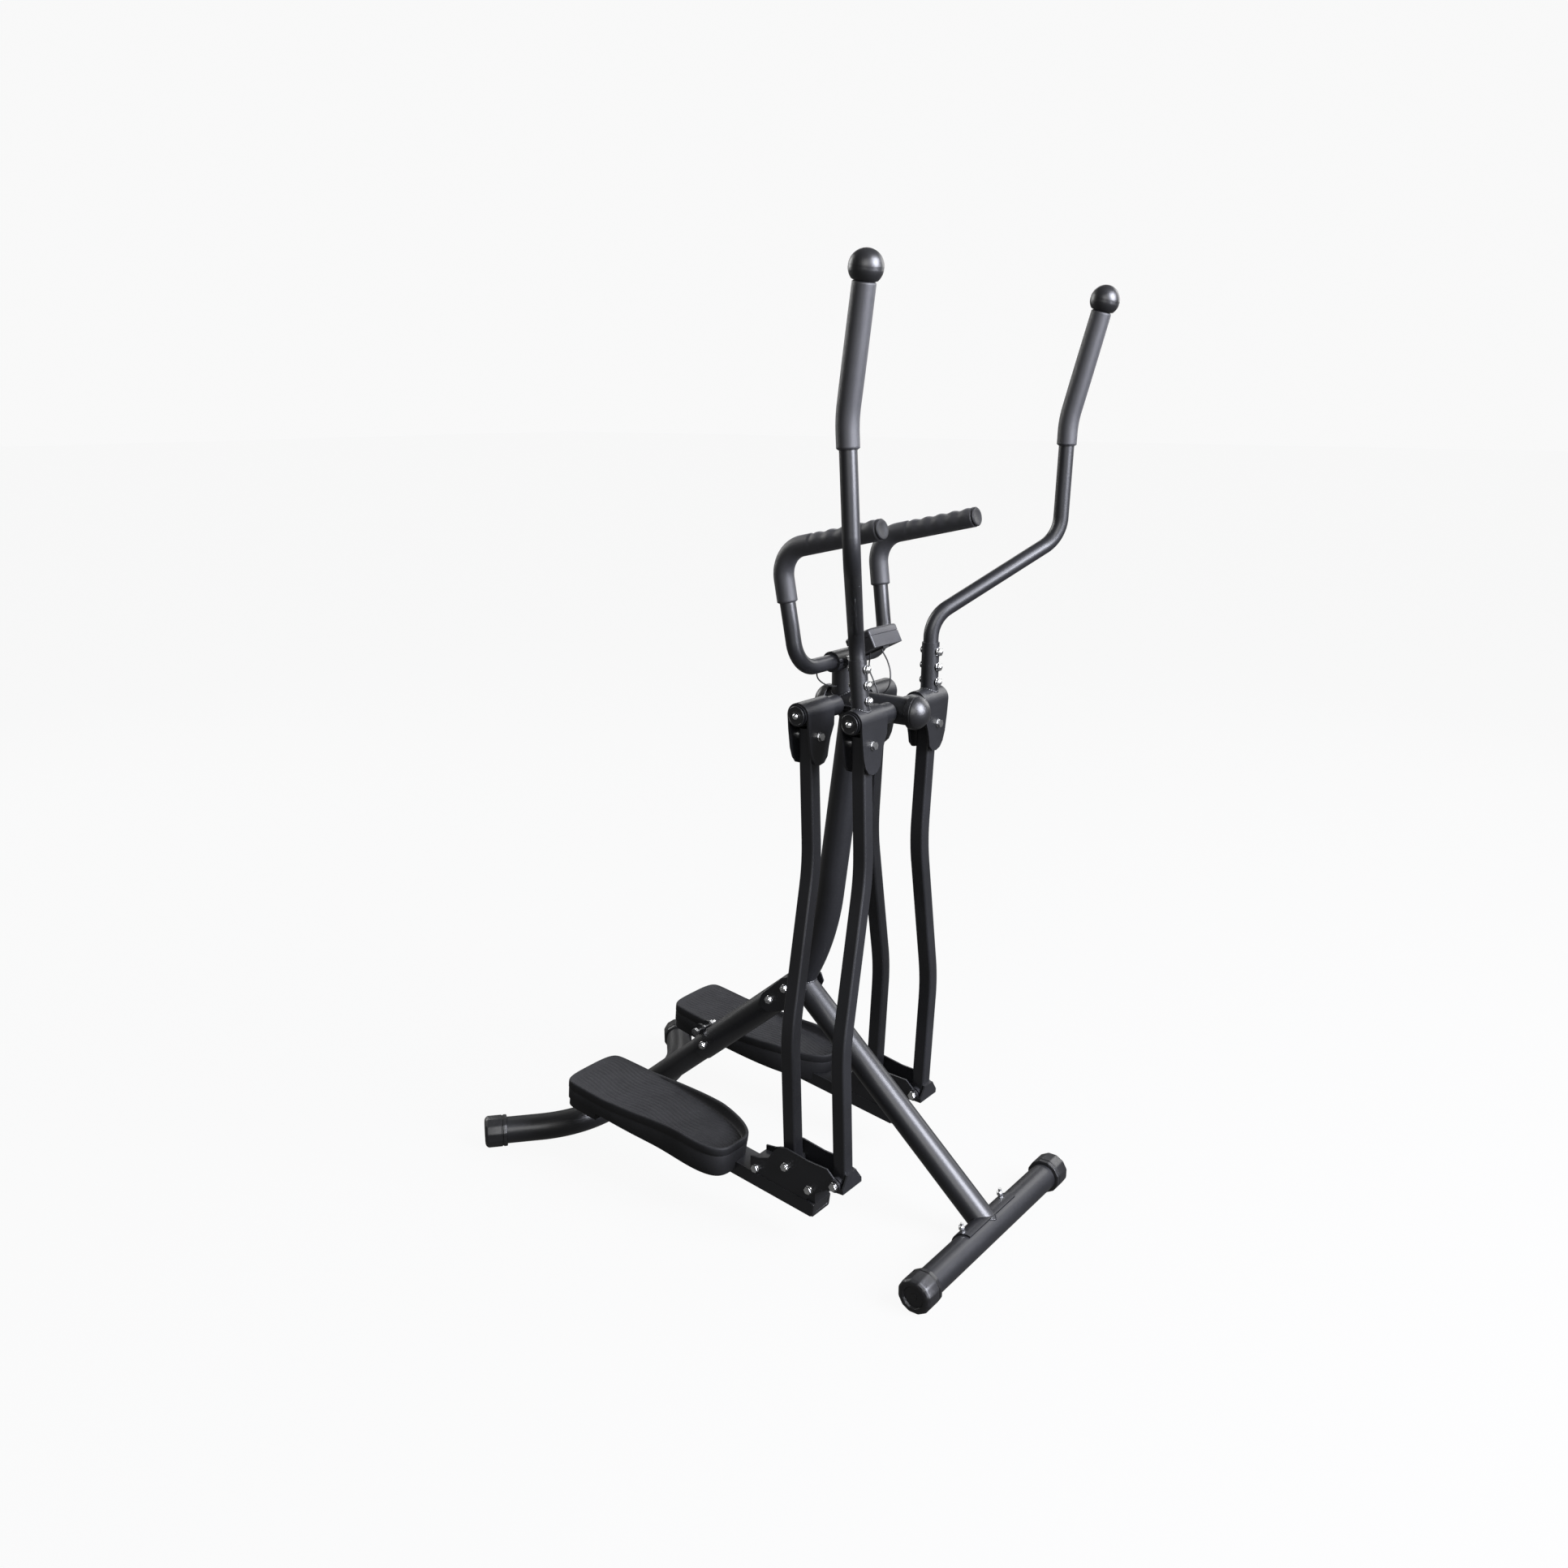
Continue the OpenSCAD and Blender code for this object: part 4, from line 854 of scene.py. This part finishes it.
CONSOLE_AT = mm(0, -12, 990)
CONSOLE_W, CONSOLE_L, CONSOLE_T, CONSOLE_LEAN = 0.082, 0.050, 0.032, math.radians(27)
CONSOLE_SEAM = 0.6                      # of the thickness lies in the back shell
CASE_CORNER, CASE_CORNER_STEPS, LENS_CORNER = 0.003, 8, 0.002
LENS_W, LENS_L, LENS_Y = 0.054, 0.022, 0.008
BUTTON_Y, BUTTON_R = -0.014, 0.006


def console_cover():
    """Front shell with a shadow gap, eased edges, a sunk window and a collar round the key."""
    base, face = CONSOLE_T * CONSOLE_SEAM, CONSOLE_T
    rings = []
    for inset, z in ((0.0012, base), (0.0012, base + 0.0009), (0.0, base + 0.0014),
                     (0.0, face - 0.0042), (0.0004, face - 0.0024), (0.0014, face - 0.0011),
                     (0.0030, face - 0.0003)):
        ring = rounded_rect(CONSOLE_W - 2 * inset, CONSOLE_L - 2 * inset, CASE_CORNER,
                            CASE_CORNER_STEPS)
        rings.append([Vector((x, y, z)) for x, y in ring])
    for grow, z in ((0.0030, face), (0.0016, face + 0.0006), (0.0006, face + 0.0004),
                    (0.0, face - 0.0016)):
        ring = rounded_rect(LENS_W + 2 * grow, LENS_L + 2 * grow, LENS_CORNER + grow,
                            CASE_CORNER_STEPS)
        rings.append([Vector((x, y + LENS_Y, z)) for x, y in ring])
    bm = bmesh.new()
    loft(bm, rings)
    r = BUTTON_R
    collar = [(r + 0.0006, -0.001), (r + 0.0006, 0.0008), (r + 0.0012, 0.0012),
              (r + 0.0020, 0.0008), (r + 0.0022, -0.001)]
    lathe(bm, collar, Vector((0, BUTTON_Y, face)), UP, sides=48)
    place = (Matrix.Translation(behind_hub(CONSOLE_AT)) @ Matrix.Rotation(math.pi, 4, "Z")
             @ Matrix.Rotation(CONSOLE_LEAN, 4, "X"))
    bmesh.ops.transform(bm, matrix=place, verts=bm.verts)
    finish_piece("console_cover", "stand", bm, CASE, ["console_front"],
                 smooth=40)


# Routes in mm: across, behind the hub and above the floor
CONSOLE_ROUTES = [
    [(11, -14, 989), (11, -15, 986.5), (11, -18, 982), (10, -22, 977.5), (9, -26, 972.5),
     (8, -29, 967), (7, -32, 961), (6, -34, 955), (5, -35, 949), (4, -35.5, 943),
     (3.5, -35, 937), (3, -33.5, 931.5), (2, -31, 926.5), (1, -28, 922.5), (0, -24.5, 919.9)],
    [(-11, -6, 985), (-11, -6, 982.5), (-10.8, -5.5, 978), (-10.4, -4.5, 973.5),
     (-9.8, -3.5, 969), (-9, -2.8, 964), (-8, -2.8, 959), (-7, -3.5, 954), (-6.2, -5, 949.5),
     (-5.5, -7, 945), (-5, -9.2, 940), (-4.5, -11.5, 935), (-4, -13.5, 930),
     (-3.5, -15.5, 925), (-3, -17, 920)]]
HANDLEBAR_ROUTE = [
    (-76, 53, 955.3), (-75.7, 53, 952.6), (-74.6, 53, 949.6), (-72.6, 53, 946.7),
    (-69.8, 53, 944), (-66.4, 53, 941.4), (-62.5, 53, 938.9), (-58.2, 53, 936.6),
    (-53.6, 53, 934.4), (-48.7, 53, 932.4), (-43.5, 53, 930.6), (-38.1, 53, 929),
    (-32.5, 53, 927.6), (-26.6, 53, 926.5), (-20.3, 53, 925.6)]
LEAD_D = 0.0024


def lead(name, route, node):
    """A short round lead along its route, from the housing that it leaves to where it goes in."""
    data = bpy.data.curves.new(name, "CURVE")
    data.dimensions = "3D"
    data.bevel_depth, data.bevel_resolution, data.use_fill_caps = LEAD_D / 2, 4, True
    spline = data.splines.new("POLY")
    spline.points.add(len(route) - 1)
    points = [behind_hub(mm(*p)) for p in route]
    for point, p in zip(spline.points, points):
        point.co = (*p, 1)
    data.materials.append(SHEATH)
    o = bpy.data.objects.new(name, data)
    bpy.context.collection.objects.link(o)
    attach(o, "stand")
    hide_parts(node)


# ---------------------------------------------------------------- stage, light and camera

WORLD_GLOW, WORLD_LIGHT, FLOOR_GLOW = 0.945, 0.15, 0.932
FLOOR_HALF, FLOOR_SINK = 40, 0.0006
FLOOR_DARK, FLOOR_LIGHT = (0.011, 0.011, 0.011), (0.013, 0.013, 0.013)
WHITE, COOL = (1, 1, 1), (0.87, 0.89, 1.0)
LIGHTS = (                              # name, place, aim, size, watts, colour
    ("key", (0.2, -3.6, 2.6), (0, 0, 0.7), (2.2, 2.8), 860, COOL),
    ("fill", (-3.4, -2.4, 2.6), (0, 0, 0.7), (2.4, 2.4), 110, WHITE),
    ("rim", (3.2, 2.0, 2.6), (0, 0, 0.9), (1.4, 1.8), 20, WHITE),
    ("back", (0.2, 4.0, 2.6), (0, 0, 0.7), (2.0, 2.4), 110, WHITE),
    ("side", (3.9, -1.0, 2.4), (0, 0, 0.7), (2.0, 2.4), 70, WHITE))
CAMERA_AT, CAMERA_AIM = (-1.9245, -1.4507, 1.3854), (0, -0.0311, 0.7359)
SENSOR_W, LENS = 36, 32.90


def turned_to(at, to):
    """The rotation that points a light or camera from one place to another."""
    return (Vector(to) - Vector(at)).to_track_quat("-Z", "Y").to_euler()


def floor():
    """Pale floor that glows to match the world and adds no light of its own to the object."""
    me = bpy.data.meshes.new("floor")
    o = bpy.data.objects.new("floor", me)
    bpy.context.collection.objects.link(o)
    bm = bmesh.new()
    bmesh.ops.create_grid(bm, x_segments=1, y_segments=1, size=FLOOR_HALF)
    bm.to_mesh(me)
    bm.free()
    o.location.z = -FLOOR_SINK
    s = Shader("pale_floor")
    s.set(Base_Color=s.ramp(s.noise(0.4, 2.0), FLOOR_DARK, FLOOR_LIGHT, ends=(0.0, 1.0)),
          Roughness=0.95, Specular_IOR_Level=0.0, Emission_Color=(*WHITE, 1),
          Emission_Strength=FLOOR_GLOW)
    me.materials.append(s.mat)
    o.visible_diffuse = False
    o.visible_glossy = False


def soft_light(name, at, to, size, watts, colour):
    data = bpy.data.lights.new(name, "AREA")
    data.shape, data.size, data.size_y = "RECTANGLE", size[0], size[1]
    data.energy, data.color = watts, colour
    o = bpy.data.objects.new(name, data)
    bpy.context.collection.objects.link(o)
    o.location = at
    o.rotation_euler = turned_to(at, to)


def studio():
    """Soft lights in a world that looks nearly white but lights the object only a little."""
    world = bpy.data.worlds.new("studio")
    bpy.context.scene.world = world
    world.use_nodes = True
    tree = world.node_tree
    background = tree.nodes["Background"]
    background.inputs["Color"].default_value = (*WHITE, 1)
    seen = tree.nodes.new("ShaderNodeLightPath").outputs["Is Camera Ray"]
    glow = tree.nodes.new("ShaderNodeMapRange")
    glow.inputs["To Min"].default_value = WORLD_LIGHT
    glow.inputs["To Max"].default_value = WORLD_GLOW
    tree.links.new(seen, glow.inputs["Value"])
    tree.links.new(glow.outputs["Result"], background.inputs["Strength"])
    for light in LIGHTS:
        soft_light(*light)


# ---------------------------------------------------------------- the making

# The camera and the cords come first
camera = bpy.data.objects.new("camera", bpy.data.cameras.new("camera"))
bpy.context.collection.objects.link(camera)
camera.data.sensor_width, camera.data.lens = SENSOR_W, LENS
camera.location = CAMERA_AT
camera.rotation_euler = turned_to(CAMERA_AT, CAMERA_AIM)
bpy.context.scene.camera = camera
bpy.context.scene.view_settings.view_transform = "Standard"

lead("console_lead_front", CONSOLE_ROUTES[0], "console_leads")
lead("console_lead_rear", CONSOLE_ROUTES[1], "console_leads")
lead("handlebar_lead_run", HANDLEBAR_ROUTE, "handlebar_lead")
floor()
studio()
foot_caps()
hub_trim()
grip_plugs()
stand_welds()
stand_nuts()
for side, sign in SIDES:
    link_nuts(side, sign, "front")
    link_nuts(side, sign, "rear")
    pedal_nuts(side, sign)
console_cover()
for side, sign in SIDES:
    pedal(side, sign)
    arm_grip(side, sign)
    arm_cap(side, sign)
    fixed_grip(side, sign)
    bar_plugs(side, sign)
    link_welds(side, sign)
